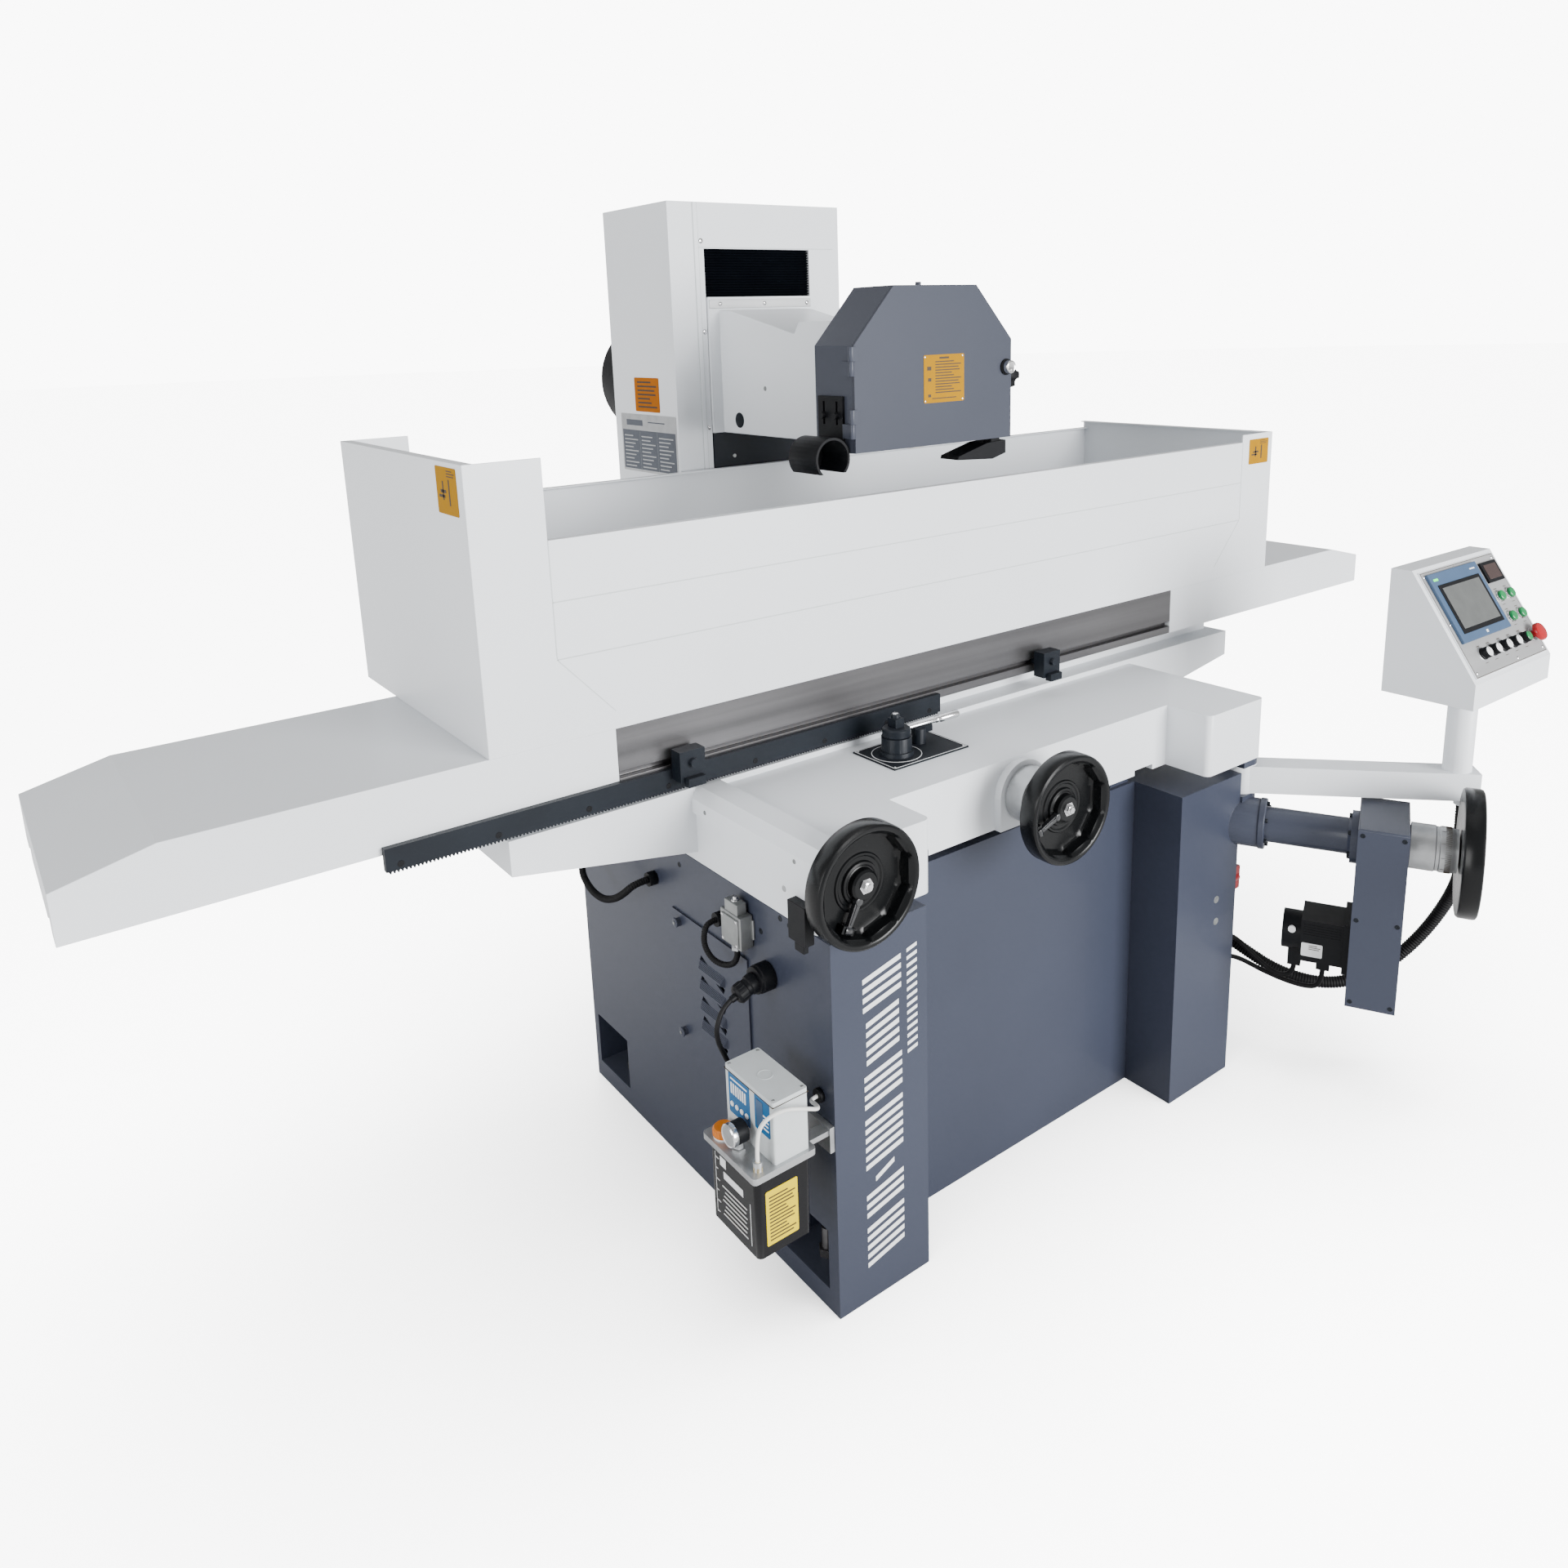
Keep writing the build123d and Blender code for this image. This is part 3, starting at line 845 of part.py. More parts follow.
# ---------------------------------------------------------------- console
def make_console():
    """The swinging arm with its post, and the console box that turns on the post."""
    pivot = Plane(origin=(*ARM_PIVOT, 0), x_dir=(cos(radians(ARM_ANGLE)), sin(radians(ARM_ANGLE)), 0))
    with BuildPart(pivot) as arm:
        rods([(0, 0)], ARM_BOTTOM - 2 + SLIDE_GAP, ARM_BARREL, ARM_SIDE + 4 - 2 * SLIDE_GAP)
        block((0, ARM_REACH + 42), (-ARM_SIDE / 2, ARM_SIDE / 2), (ARM_BOTTOM, ARM_TOP))
        block((ARM_BARREL + 20, ARM_REACH + 36), (-ARM_SIDE / 2 + 4, ARM_SIDE / 2 - 4),
              (ARM_BOTTOM + 4, ARM_TOP - 4), Mode.SUBTRACT)
        rods([(0, 0)], ARM_BOTTOM - 10, ARM_PIN + RUNNING_FIT, ARM_SIDE + 20, Mode.SUBTRACT)
        rods([(ARM_REACH, 0)], ARM_TOP, POST_RADIUS, CONSOLE_BOTTOM - ARM_TOP - SLIDE_GAP)
        rods([(ARM_REACH, 0)], CONSOLE_BOTTOM - 10, 15, 60)
        rods([(HOSE_REACH, 0)], ARM_BOTTOM - 18, 20, 19)
    save(arm, "console_arm")
    half = CONSOLE_WIDTH / 2
    left = POST_AT[0] - half
    with BuildPart() as console:
        for inset, mode in ((0, Mode.ADD), (CONSOLE_WALL, Mode.SUBTRACT)):
            with BuildSketch(Plane.YZ.offset(left + inset)):
                with BuildLine():
                    Polyline((CONSOLE_BACK - inset, CONSOLE_BOTTOM + inset),
                             (CONSOLE_BACK - inset, CONSOLE_TOP - inset),
                             (CONSOLE_BACK - CONSOLE_CROWN + inset * 0.3, CONSOLE_TOP - inset),
                             (CONSOLE_FRONT + inset, CONSOLE_BOTTOM + CONSOLE_LIP - inset * 0.3),
                             (CONSOLE_FRONT + inset, CONSOLE_BOTTOM + inset), close=True)
                make_face()
            extrude(amount=CONSOLE_WIDTH - 2 * inset, mode=mode)
        rod((*POST_AT, CONSOLE_BOTTOM), (0, 0, 1), 26, 70)
        rod((*POST_AT, CONSOLE_BOTTOM - 1), (0, 0, 1), 15 + RUNNING_FIT, 60, Mode.SUBTRACT)
        with Locations(FACE):
            Box(CONSOLE_WIDTH - 24, FACE_LENGTH - 20, 3, align=(Align.CENTER, Align.CENTER, Align.MIN))
        with Locations(FACE):
            for place in (*BUTTON_PLACES, *KNOB_PLACES, CAP_SWITCH_PLACE, STOP_PLACE):
                with Locations((place[0], place[1], 0)):
                    Cylinder(BUTTON_RADIUS - 3 + BUTTON_PLAY, 40, mode=Mode.SUBTRACT)
    save(console, "console")


def make_controls():
    """The buttons, knobs, capped switch and emergency stop on the console's face."""
    for number, place in enumerate(BUTTON_PLACES, 1):
        with BuildPart(FACE) as button:
            rods([place], -14, BUTTON_RADIUS - 3, 18)
            rods([place], 8, BUTTON_RADIUS, 6)
            rods([place], 3, BUTTON_RADIUS - 3, 6)
        save(button, f"push_button_{number}")
    for number, place in enumerate(KNOB_PLACES, 1):
        with BuildPart(FACE) as knob:
            rods([place], -14, BUTTON_RADIUS - 3, 20)
            rods([place], 3 + SLIDE_GAP, 14, 5)
            rods([place], 5, 11, 15)
            block((place[0] - 3, place[0] + 3), (place[1] - 12, place[1] + 12), (19, 22))
        save(knob, f"selector_knob_{number}")
    with BuildPart(FACE) as capped:
        rods([CAP_SWITCH_PLACE], -14, BUTTON_RADIUS - 3, 20)
        rods([CAP_SWITCH_PLACE], 3 + SLIDE_GAP, 13, 15)
        block((CAP_SWITCH_PLACE[0] - 4, CAP_SWITCH_PLACE[0] + 4),
              (CAP_SWITCH_PLACE[1] - 11, CAP_SWITCH_PLACE[1] + 11), (17, 25))
    save(capped, "lit_selector")
    with BuildPart(FACE) as stop:
        rods([STOP_PLACE], -14, BUTTON_RADIUS - 3, 28)
        rods([STOP_PLACE], 13, 20, 10)
        rods([STOP_PLACE], 22, 16, 5)
    save(stop, "emergency_stop")
    with BuildPart() as main_switch:
        rod((HALF + SLIDE_GAP, *MAIN_SWITCH_AT), (1, 0, 0), 12, 34)
        block((HALF + 20, HALF + 38), (MAIN_SWITCH_AT[0] - 8, MAIN_SWITCH_AT[0] + 8),
              (MAIN_SWITCH_AT[1] - 28, MAIN_SWITCH_AT[1] + 28))
    save(main_switch, "main_switch")


# ---------------------------------------------------------------- build
os.makedirs("parts", exist_ok=True)
make_base()
make_access_cover()
make_levelling_feet()
make_elevating_gearbox()
make_servo_motor()
make_left_side_fittings()
make_lubricator()
make_cords()
make_saddle()
make_saddle_fittings()
make_table()
make_table_covers()
make_table_guard()
make_column()
make_head()
make_wheel_guard()
make_latch_and_nozzle()
make_spindle()
make_screws()
make_handwheels()
make_console()
make_controls()
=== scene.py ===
"""Surface grinder: finishes, fitted details, floor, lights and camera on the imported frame."""
import logging
from dataclasses import dataclass, field
from enum import Enum
from math import cos, hypot, pi, radians, sin

import bmesh
import bpy
from mathutils import Matrix, Vector


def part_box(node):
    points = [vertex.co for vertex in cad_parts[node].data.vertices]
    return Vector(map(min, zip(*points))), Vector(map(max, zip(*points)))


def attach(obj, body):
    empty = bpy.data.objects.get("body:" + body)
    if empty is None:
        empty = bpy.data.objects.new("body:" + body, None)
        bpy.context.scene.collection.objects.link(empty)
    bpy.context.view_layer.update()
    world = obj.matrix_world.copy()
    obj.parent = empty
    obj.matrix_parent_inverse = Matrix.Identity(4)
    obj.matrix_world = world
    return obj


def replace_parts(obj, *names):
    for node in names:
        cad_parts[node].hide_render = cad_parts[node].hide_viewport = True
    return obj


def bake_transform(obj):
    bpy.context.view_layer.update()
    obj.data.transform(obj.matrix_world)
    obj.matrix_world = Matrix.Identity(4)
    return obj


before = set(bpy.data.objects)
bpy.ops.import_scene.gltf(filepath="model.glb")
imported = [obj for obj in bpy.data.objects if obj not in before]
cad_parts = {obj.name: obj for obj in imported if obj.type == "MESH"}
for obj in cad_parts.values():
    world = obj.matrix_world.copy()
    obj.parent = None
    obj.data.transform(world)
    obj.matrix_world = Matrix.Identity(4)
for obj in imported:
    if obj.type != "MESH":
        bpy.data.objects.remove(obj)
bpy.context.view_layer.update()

LOG = logging.getLogger("grinder")
Point = tuple[float, float, float]


def mm(x: float, y: float, z: float) -> Vector:
    """A point given in millimetres, as metres."""
    return Vector((x, y, z)) / 1000


# ---------------------------------------------------------------- shader effects
class Effect(Enum):
    """The surface effects that finishes share, each one a node group."""

    PAINT = "sprayed paint"
    GRAIN = "moulded grain"
    CAST = "cast skin"
    LAY = "machined lay"


@dataclass
class EffectLibrary:
    """Builds each shared shader node group once and hands it out."""

    built: dict[Effect, bpy.types.ShaderNodeTree] = field(default_factory=dict)

    def get(self, effect: Effect) -> bpy.types.ShaderNodeTree:
        """The node group of an effect, built on first use.

        Args:
            effect: Which effect.

        Returns:
            The group, with inputs Colour, Scale, Spread, Roughness and Dust, and outputs Colour,
            Roughness and Height.
        """
        if effect not in self.built:
            self.built[effect] = self._build(effect)
        return self.built[effect]

    def _build(self, effect: Effect) -> bpy.types.ShaderNodeTree:
        """Makes one group.

        Args:
            effect: Which effect.

        Returns:
            The new node group.
        """
        tree = bpy.data.node_groups.new(effect.value, "ShaderNodeTree")
        face = tree.interface
        face.new_socket("Colour", in_out="INPUT", socket_type="NodeSocketColor")
        for name, start in (("Scale", 1.0), ("Spread", 0.1), ("Roughness", 0.4), ("Dust", 0.0)):
            face.new_socket(name, in_out="INPUT", socket_type="NodeSocketFloat").default_value = start
        face.new_socket("Colour", in_out="OUTPUT", socket_type="NodeSocketColor")
        face.new_socket("Roughness", in_out="OUTPUT", socket_type="NodeSocketFloat")
        face.new_socket("Height", in_out="OUTPUT", socket_type="NodeSocketFloat")
        node, link = tree.nodes.new, tree.links.new
        inputs, outputs = node("NodeGroupInput"), node("NodeGroupOutput")
        place = node("ShaderNodeTexCoord")
        stretch = node("ShaderNodeMapping")
        stretch.inputs["Scale"].default_value = (0.02, 1, 1) if effect is Effect.LAY else (1, 1, 1)
        link(place.outputs["Object"], stretch.inputs["Vector"])
        fine, broad = node("ShaderNodeTexNoise"), node("ShaderNodeTexNoise")
        sizes = {Effect.PAINT: (900.0, 2.0), Effect.GRAIN: (2600.0, 30.0),
                 Effect.CAST: (260.0, 9.0), Effect.LAY: (1500.0, 40.0)}
        for noise, base, detail in ((fine, sizes[effect][0], 3.0), (broad, sizes[effect][1], 5.0)):
            scaled = node("ShaderNodeMath")
            scaled.operation = "MULTIPLY"
            scaled.inputs[1].default_value = base
            link(inputs.outputs["Scale"], scaled.inputs[0])
            link(scaled.outputs[0], noise.inputs["Scale"])
            link(stretch.outputs[0], noise.inputs["Vector"])
            noise.inputs["Detail"].default_value = detail
        shade = node("ShaderNodeMapRange")
        shade.inputs["From Min"].default_value = 0.3
        shade.inputs["From Max"].default_value = 0.7
        link(broad.outputs["Fac"], shade.inputs["Value"])
        low = node("ShaderNodeMath")
        low.operation = "SUBTRACT"
        low.inputs[0].default_value = 1.0
        link(inputs.outputs["Spread"], low.inputs[1])
        link(low.outputs[0], shade.inputs["To Min"])
        shade.inputs["To Max"].default_value = 1.0
        tint = node("ShaderNodeVectorMath")
        tint.operation = "SCALE"
        link(inputs.outputs["Colour"], tint.inputs[0])
        link(shade.outputs[0], tint.inputs["Scale"])
        normal = node("ShaderNodeNewGeometry")
        split = node("ShaderNodeSeparateXYZ")
        link(normal.outputs["Normal"], split.inputs[0])
        settle = node("ShaderNodeMath")
        settle.operation = "MULTIPLY"
        settle.use_clamp = True
        link(split.outputs["Z"], settle.inputs[0])
        link(broad.outputs["Fac"], settle.inputs[1])
        amount = node("ShaderNodeMath")
        amount.operation = "MULTIPLY"
        link(settle.outputs[0], amount.inputs[0])
        link(inputs.outputs["Dust"], amount.inputs[1])
        dusty = node("ShaderNodeMix")
        dusty.data_type = "RGBA"
        dusty.inputs[7].default_value = (0.55, 0.54, 0.52, 1)
        link(amount.outputs[0], dusty.inputs[0])
        link(tint.outputs[0], dusty.inputs[6])
        link(dusty.outputs[2], outputs.inputs["Colour"])
        rough = node("ShaderNodeMath")
        rough.operation = "MULTIPLY_ADD"
        link(broad.outputs["Fac"], rough.inputs[0])
        rough.inputs[1].default_value = 0.16
        link(inputs.outputs["Roughness"], rough.inputs[2])
        link(rough.outputs[0], outputs.inputs["Roughness"])
        link(fine.outputs["Fac"], outputs.inputs["Height"])
        return tree


EFFECTS = EffectLibrary()


@dataclass(frozen=True)
class Finish:
    """One surface finish: a colour and gloss with a shared effect over it."""

    name: str
    colour: Point
    roughness: float
    effect: Effect = Effect.GRAIN
    metallic: float = 0.0
    coat: float = 0.0
    bump: float = 0.0002
    scale: float = 1.0
    spread: float = 0.1
    dust: float = 0.0
    glow: float = 0.0
    gloss: float = 0.3

    def material(self) -> bpy.types.Material:
        """The finish's material, built on first use."""
        found = bpy.data.materials.get(self.name)
        return found if found else self._build()

    def _build(self) -> bpy.types.Material:
        """Makes the material.

        Returns:
            The material, its effect group feeding a Principled shader.
        """
        material = bpy.data.materials.new(self.name)
        material.use_nodes = True
        material.diffuse_color = (*self.colour, 1)
        tree = material.node_tree
        shader = tree.nodes["Principled BSDF"]
        shader.inputs["Metallic"].default_value = self.metallic
        shader.inputs["Coat Weight"].default_value = self.coat
        shader.inputs["Specular IOR Level"].default_value = self.gloss
        shader.inputs["Coat Roughness"].default_value = 0.12
        group = tree.nodes.new("ShaderNodeGroup")
        group.node_tree = EFFECTS.get(self.effect)
        group.inputs["Colour"].default_value = (*self.colour, 1)
        group.inputs["Scale"].default_value = self.scale
        group.inputs["Spread"].default_value = self.spread
        group.inputs["Roughness"].default_value = self.roughness - 0.08
        group.inputs["Dust"].default_value = self.dust
        bump = tree.nodes.new("ShaderNodeBump")
        bump.inputs["Distance"].default_value = self.bump
        bump.inputs["Strength"].default_value = 0.6
        tree.links.new(group.outputs["Colour"], shader.inputs["Base Color"])
        tree.links.new(group.outputs["Roughness"], shader.inputs["Roughness"])
        tree.links.new(group.outputs["Height"], bump.inputs["Height"])
        tree.links.new(bump.outputs["Normal"], shader.inputs["Normal"])
        if self.glow:
            tree.links.new(group.outputs["Colour"], shader.inputs["Emission Color"])
            shader.inputs["Emission Strength"].default_value = self.glow
        return material


WHITE = Finish("white enamel", (0.72, 0.745, 0.775), 0.36, Effect.PAINT, coat=0.12, spread=0.04, dust=0.05)
SLATE = Finish("slate enamel", (0.034, 0.040, 0.062), 0.38, Effect.PAINT, coat=0.08, spread=0.14,
               dust=0.04, gloss=0.25)
GUARD = Finish("guard enamel", (0.038, 0.043, 0.060), 0.40, Effect.PAINT, coat=0.06, spread=0.08,
               dust=0.03, gloss=0.25)
DARK = Finish("blued steel", (0.006, 0.009, 0.014), 0.45, Effect.CAST, metallic=0.1, spread=0.3,
              dust=0.02, gloss=0.2)
STEEL = Finish("ground steel", (0.13, 0.128, 0.132), 0.34, Effect.LAY, metallic=0.85, bump=0.00004,
               spread=0.3)
CHUCK = Finish("chuck steel", (0.42, 0.42, 0.43), 0.26, Effect.LAY, metallic=0.95, bump=0.00004, spread=0.2)
CHROME = Finish("polished steel", (0.72, 0.72, 0.73), 0.16, Effect.GRAIN, metallic=1.0, bump=0.00001,
                spread=0.08)
SATIN = Finish("satin aluminium", (0.45, 0.46, 0.47), 0.36, Effect.LAY, metallic=0.8, bump=0.00003,
               spread=0.2)
DIECAST = Finish("die-cast zinc", (0.30, 0.31, 0.31), 0.40, Effect.CAST, metallic=0.7, scale=3.0,
                 spread=0.25)
GLOSS = Finish("black lacquer", (0.003, 0.0035, 0.004), 0.26, Effect.PAINT, coat=0.0, bump=0.00005,
               spread=0.2, gloss=0.22)
# black lacquer whose coat and gloss give real reflections; its base colour is lightened as a painted
# highlight for the handle's bright edges
HANDLE_WITH_PAINTED_HIGHLIGHT = Finish("handle lacquer with painted highlight", (0.012, 0.013, 0.015), 0.22, Effect.GRAIN, coat=0.3, bump=0.00003,
                spread=0.1, gloss=0.6)
BLACK = Finish("black nylon", (0.004, 0.0045, 0.006), 0.48, Effect.GRAIN, bump=0.0001, spread=0.25,
               gloss=0.15)
RUBBER = Finish("black rubber", (0.004, 0.004, 0.005), 0.55, Effect.GRAIN, bump=0.0001, spread=0.3,
                dust=0.03, gloss=0.15)
CLOTH = Finish("coated bellows cloth", (0.003, 0.005, 0.009), 0.5, Effect.GRAIN, scale=0.5, spread=0.3,
               gloss=0.15)
STONE = Finish("vitrified abrasive", (0.70, 0.69, 0.66), 0.85, Effect.CAST, bump=0.0006, scale=5.0,
               spread=0.25)
PVC = Finish("white tubing", (0.70, 0.70, 0.68), 0.35, Effect.GRAIN, bump=0.00003, spread=0.06)
# light grey plastic, also used as the painted shade along the guard panel's folds
GREY_AND_FOLD_SHADE = Finish("light grey plastic and painted fold shade", (0.52, 0.55, 0.56), 0.42, Effect.GRAIN, bump=0.00012, spread=0.06)
PANEL = Finish("anodised panel", (0.40, 0.405, 0.41), 0.38, Effect.LAY, metallic=0.4, bump=0.00002,
               spread=0.1)
BEZEL = Finish("blue-grey bezel", (0.050, 0.092, 0.165), 0.4, Effect.GRAIN, bump=0.00006, spread=0.08)
SCREEN = Finish("display glass", (0.095, 0.10, 0.098), 0.12, Effect.GRAIN, coat=0.5, bump=0.0, spread=0.15)
METER = Finish("tinted window", (0.035, 0.018, 0.016), 0.15, Effect.GRAIN, coat=0.4, bump=0.0, spread=0.1)
GREEN = Finish("green cap", (0.002, 0.20, 0.055), 0.28, Effect.GRAIN, coat=0.2, bump=0.00003, spread=0.12)
LAMP = Finish("green lamp", (0.05, 0.85, 0.12), 0.3, Effect.GRAIN, bump=0.0, glow=1.4)
RED = Finish("red cap", (0.34, 0.004, 0.008), 0.3, Effect.GRAIN, coat=0.2, bump=0.00003, spread=0.12)
ORANGE = Finish("orange cap", (0.62, 0.17, 0.006), 0.35, Effect.GRAIN, coat=0.1, bump=0.00005, spread=0.12)
SMOKE = Finish("smoked acrylic", (0.002, 0.002, 0.003), 0.12, Effect.GRAIN, coat=0.12, bump=0.00002,
               spread=0.3, gloss=0.2)
YELLOW = Finish("yellow plate", (0.34, 0.165, 0.0), 0.55, Effect.GRAIN, bump=0.00003, spread=0.08,
                gloss=0.05)
LEMON = Finish("yellow sticker", (0.66, 0.50, 0.0), 0.55, Effect.GRAIN, bump=0.00003, spread=0.05,
               gloss=0.05)
AMBER = Finish("amber plate", (0.36, 0.105, 0.003), 0.55, Effect.GRAIN, bump=0.00003, spread=0.1,
               gloss=0.05)
INK = Finish("printed ink", (0.05, 0.035, 0.02), 0.6, Effect.GRAIN, bump=0.0, spread=0.2)
SHADE = Finish("etched ground", (0.075, 0.085, 0.105), 0.5, Effect.GRAIN, bump=0.00002, spread=0.15)
BLUE = Finish("blue legend", (0.003, 0.10, 0.26), 0.4, Effect.GRAIN, bump=0.00003, spread=0.12)
LIGHT = Finish("white print", (0.78, 0.79, 0.80), 0.45, Effect.GRAIN, bump=0.00002, spread=0.05)
BRASS = Finish("brass fitting", (0.50, 0.42, 0.26), 0.32, Effect.GRAIN, metallic=0.85, bump=0.00003,
               spread=0.15)
PALE = Finish("studio floor", (0.86, 0.86, 0.86), 0.8, Effect.GRAIN, bump=0.0, spread=0.01, gloss=0.0)


# ---------------------------------------------------------------- shaping tools
@dataclass(frozen=True)
class Seat:
    """A local frame for a fitting: an origin in millimetres, its X direction and its outward Z."""

    origin: Point
    x: Point
    z: Point

    def matrix(self) -> Matrix:
        """The frame as a matrix that takes local millimetres to metres."""
        z = Vector(self.z).normalized()
        x = (Vector(self.x) - z * Vector(self.x).dot(z)).normalized()
        y = z.cross(x)
        turn = Matrix((x, y, z)).transposed().to_4x4()
        return Matrix.Translation(Vector(self.origin) / 1000) @ turn @ Matrix.Scale(0.001, 4)

    def out(self, x: float, y: float, z: float = 0.0) -> Point:
        """A local point in the row frame, in millimetres."""
        return tuple(self.matrix() @ Vector((x, y, z)) * 1000)


def facing_left(x: float, y: float, z: float) -> Seat:
    """A seat on a face that looks left, its X toward the front."""
    return Seat((x, y, z), (0, -1, 0), (-1, 0, 0))


def facing_front(x: float, y: float, z: float) -> Seat:
    """A seat on a face that looks to the front, its X to the right."""
    return Seat((x, y, z), (1, 0, 0), (0, -1, 0))


def facing_up(x: float, y: float, z: float) -> Seat:
    """A seat on a face that looks up, its X to the right."""
    return Seat((x, y, z), (1, 0, 0), (0, 0, 1))


WORLD = facing_up(0, 0, 0)


class Shape:
    """A mesh in the making, in a seat's local millimetres."""

    def __init__(self, seat: Seat = WORLD) -> None:
        """Starts an empty mesh.

        Args:
            seat: The local frame of everything added.
        """
        self.seat = seat
        self.mesh = bmesh.new()

    def block(self, x: tuple[float, float], y: tuple[float, float], z: tuple[float, float],
              turn: float = 0.0) -> "Shape":
        """Adds a block between limits on each local axis.

        Args:
            x: Limits along X.
            y: Limits along Y.
            z: Limits along Z.
            turn: Degrees it is turned about its own middle, round Z.

        Returns:
            The same shape.
        """
        middle = Vector(((x[0] + x[1]) / 2, (y[0] + y[1]) / 2, (z[0] + z[1]) / 2))
        place = Matrix.Translation(middle) @ Matrix.Rotation(radians(turn), 4, "Z")
        size = Matrix.Diagonal((x[1] - x[0], y[1] - y[0], z[1] - z[0], 1))
        bmesh.ops.create_cube(self.mesh, size=1, matrix=place @ size)
        return self

    def turned(self, profile: list[tuple[float, float]], centre: tuple[float, float] = (0, 0),
               steps: int = 48) -> "Shape":
        """Adds a body of revolution about the local Z at centre.

        Args:
            profile: Pairs of radius and height. A radius of 0 closes an end.
            centre: Where the axis stands in local X and Y.
            steps: Facets round it.

        Returns:
            The same shape.
        """
        rings = []
        for radius, level in profile:
            if radius == 0:
                rings.append([self.mesh.verts.new((*centre, level))])
                continue
            rings.append([self.mesh.verts.new((centre[0] + radius * cos(2 * pi * i / steps),
                                               centre[1] + radius * sin(2 * pi * i / steps), level))
                          for i in range(steps)])
        for low, high in zip(rings, rings[1:]):
            for i in range(steps):
                j = (i + 1) % steps
                corners = [low[i % len(low)], low[j % len(low)], high[j % len(high)], high[i % len(high)]]
                unique = list(dict.fromkeys(corners))
                if len(unique) > 2:
                    self.mesh.faces.new(unique)
        return self

    def rod(self, centre: tuple[float, float], radius: float, low: float, high: float,
            ease: float = 0.0, steps: int = 32) -> "Shape":
        """Adds a round bar along the local Z, its far end eased.

        Args:
            centre: Its axis in local X and Y.
            radius: Its radius.
            low: Where it starts along Z.
            high: Where it ends along Z.
            ease: The rounding of its far edge.
            steps: Facets round it.

        Returns:
            The same shape.
        """
        top = [(radius, high)]
        if ease:
            top = [(radius, high - ease), (radius - 0.3 * ease, high - 0.3 * ease), (radius - ease, high)]
        return self.turned([(0, low), (radius, low), *top, (0, high)], centre, steps)

    def prism(self, outline: list[tuple[float, float]], low: float, high: float) -> "Shape":
        """Adds a straight prism over an outline in local X and Y.

        Args:
            outline: Corner points in order.
            low: Where it starts along Z.
            high: Where it ends along Z.

        Returns:
            The same shape.
        """
        bottom = [self.mesh.verts.new((*p, low)) for p in outline]
        top = [self.mesh.verts.new((*p, high)) for p in outline]
        self.mesh.faces.new(bottom[::-1])
        self.mesh.faces.new(top)
        for i in range(len(outline)):
            j = (i + 1) % len(outline)
            self.mesh.faces.new((bottom[i], bottom[j], top[j], top[i]))
        return self

    def piece(self, name: str, body: str, finish: Finish, bevel: float = 0.0) -> bpy.types.Object:
        """Finishes the mesh as a piece of the machine.

        Args:
            name: The piece's name.
            body: The moving body it rides on.
            finish: What it is finished in.
            bevel: Edge rounding in millimetres.

        Returns:
            The new object, riding on its body.
        """
        bmesh.ops.remove_doubles(self.mesh, verts=self.mesh.verts, dist=1e-4)
        bmesh.ops.recalc_face_normals(self.mesh, faces=self.mesh.faces)
        self.mesh.transform(self.seat.matrix())
        data = bpy.data.meshes.new(name)
        self.mesh.to_mesh(data)
        self.mesh.free()
        data.shade_smooth()
        data.set_sharp_from_angle(angle=radians(35))
        data.materials.append(finish.material())
        thing = bpy.data.objects.new(name, data)
        bpy.context.scene.collection.objects.link(thing)
        if bevel:
            soften(thing, bevel)
        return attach(thing, body)


def soften(thing: bpy.types.Object, width: float, steps: int = 2) -> None:
    """Rounds an object's sharp edges with modifiers.

    Args:
        thing: The object.
        width: Rounding in millimetres.
        steps: Facets across the rounding.
    """
    weld = thing.modifiers.new("join seams", "WELD")
    weld.merge_threshold = 0.00002
    bevel = thing.modifiers.new("rounded edges", "BEVEL")
    bevel.width = width / 1000
    bevel.segments = steps
    bevel.limit_method = "ANGLE"
    bevel.angle_limit = radians(32)
    bevel.harden_normals = True
    bevel.use_clamp_overlap = True


def dress(nodes: dict[str, Finish], width: float = 0.0) -> None:
    """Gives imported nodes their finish, and rounds their edges.

    Args:
        nodes: Node names and finishes.
        width: Rounding in millimetres, or 0 for none.
    """
    for name, finish in nodes.items():
        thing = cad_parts[name]
        thing.data.materials.clear()
        thing.data.materials.append(finish.material())
        if width:
            soften(thing, width)


@dataclass
class Screws:
    """Like screws on one face, either socket heads or low pan heads with a dimple."""

    name: str
    body: str
    seat: Seat
    places: list[tuple[float, float]]
    radius: float = 6.0
    height: float = 4.0
    finish: Finish = CHROME
    socket: bool = True

    def build(self) -> bpy.types.Object:
        """Builds all the screws as one piece.

        Returns:
            The piece.
        """
        shape = Shape(self.seat)
        r, h = self.radius, self.height
        for x, y in self.places:
            if self.socket:
                profile = [(r, 0), (r, h - 1), (r - 0.8, h),
                           (r * 0.5, h), (r * 0.45, h * 0.4), (0, h * 0.35)]
            else:
                profile = [(r, 0), (r, h * 0.35), (r * 0.75, h * 0.8),
                           (r * 0.3, h), (r * 0.2, h * 0.6), (0, h * 0.6)]
            shape.turned(profile, (x, y), 18)
        return shape.piece(self.name, self.body, self.finish)


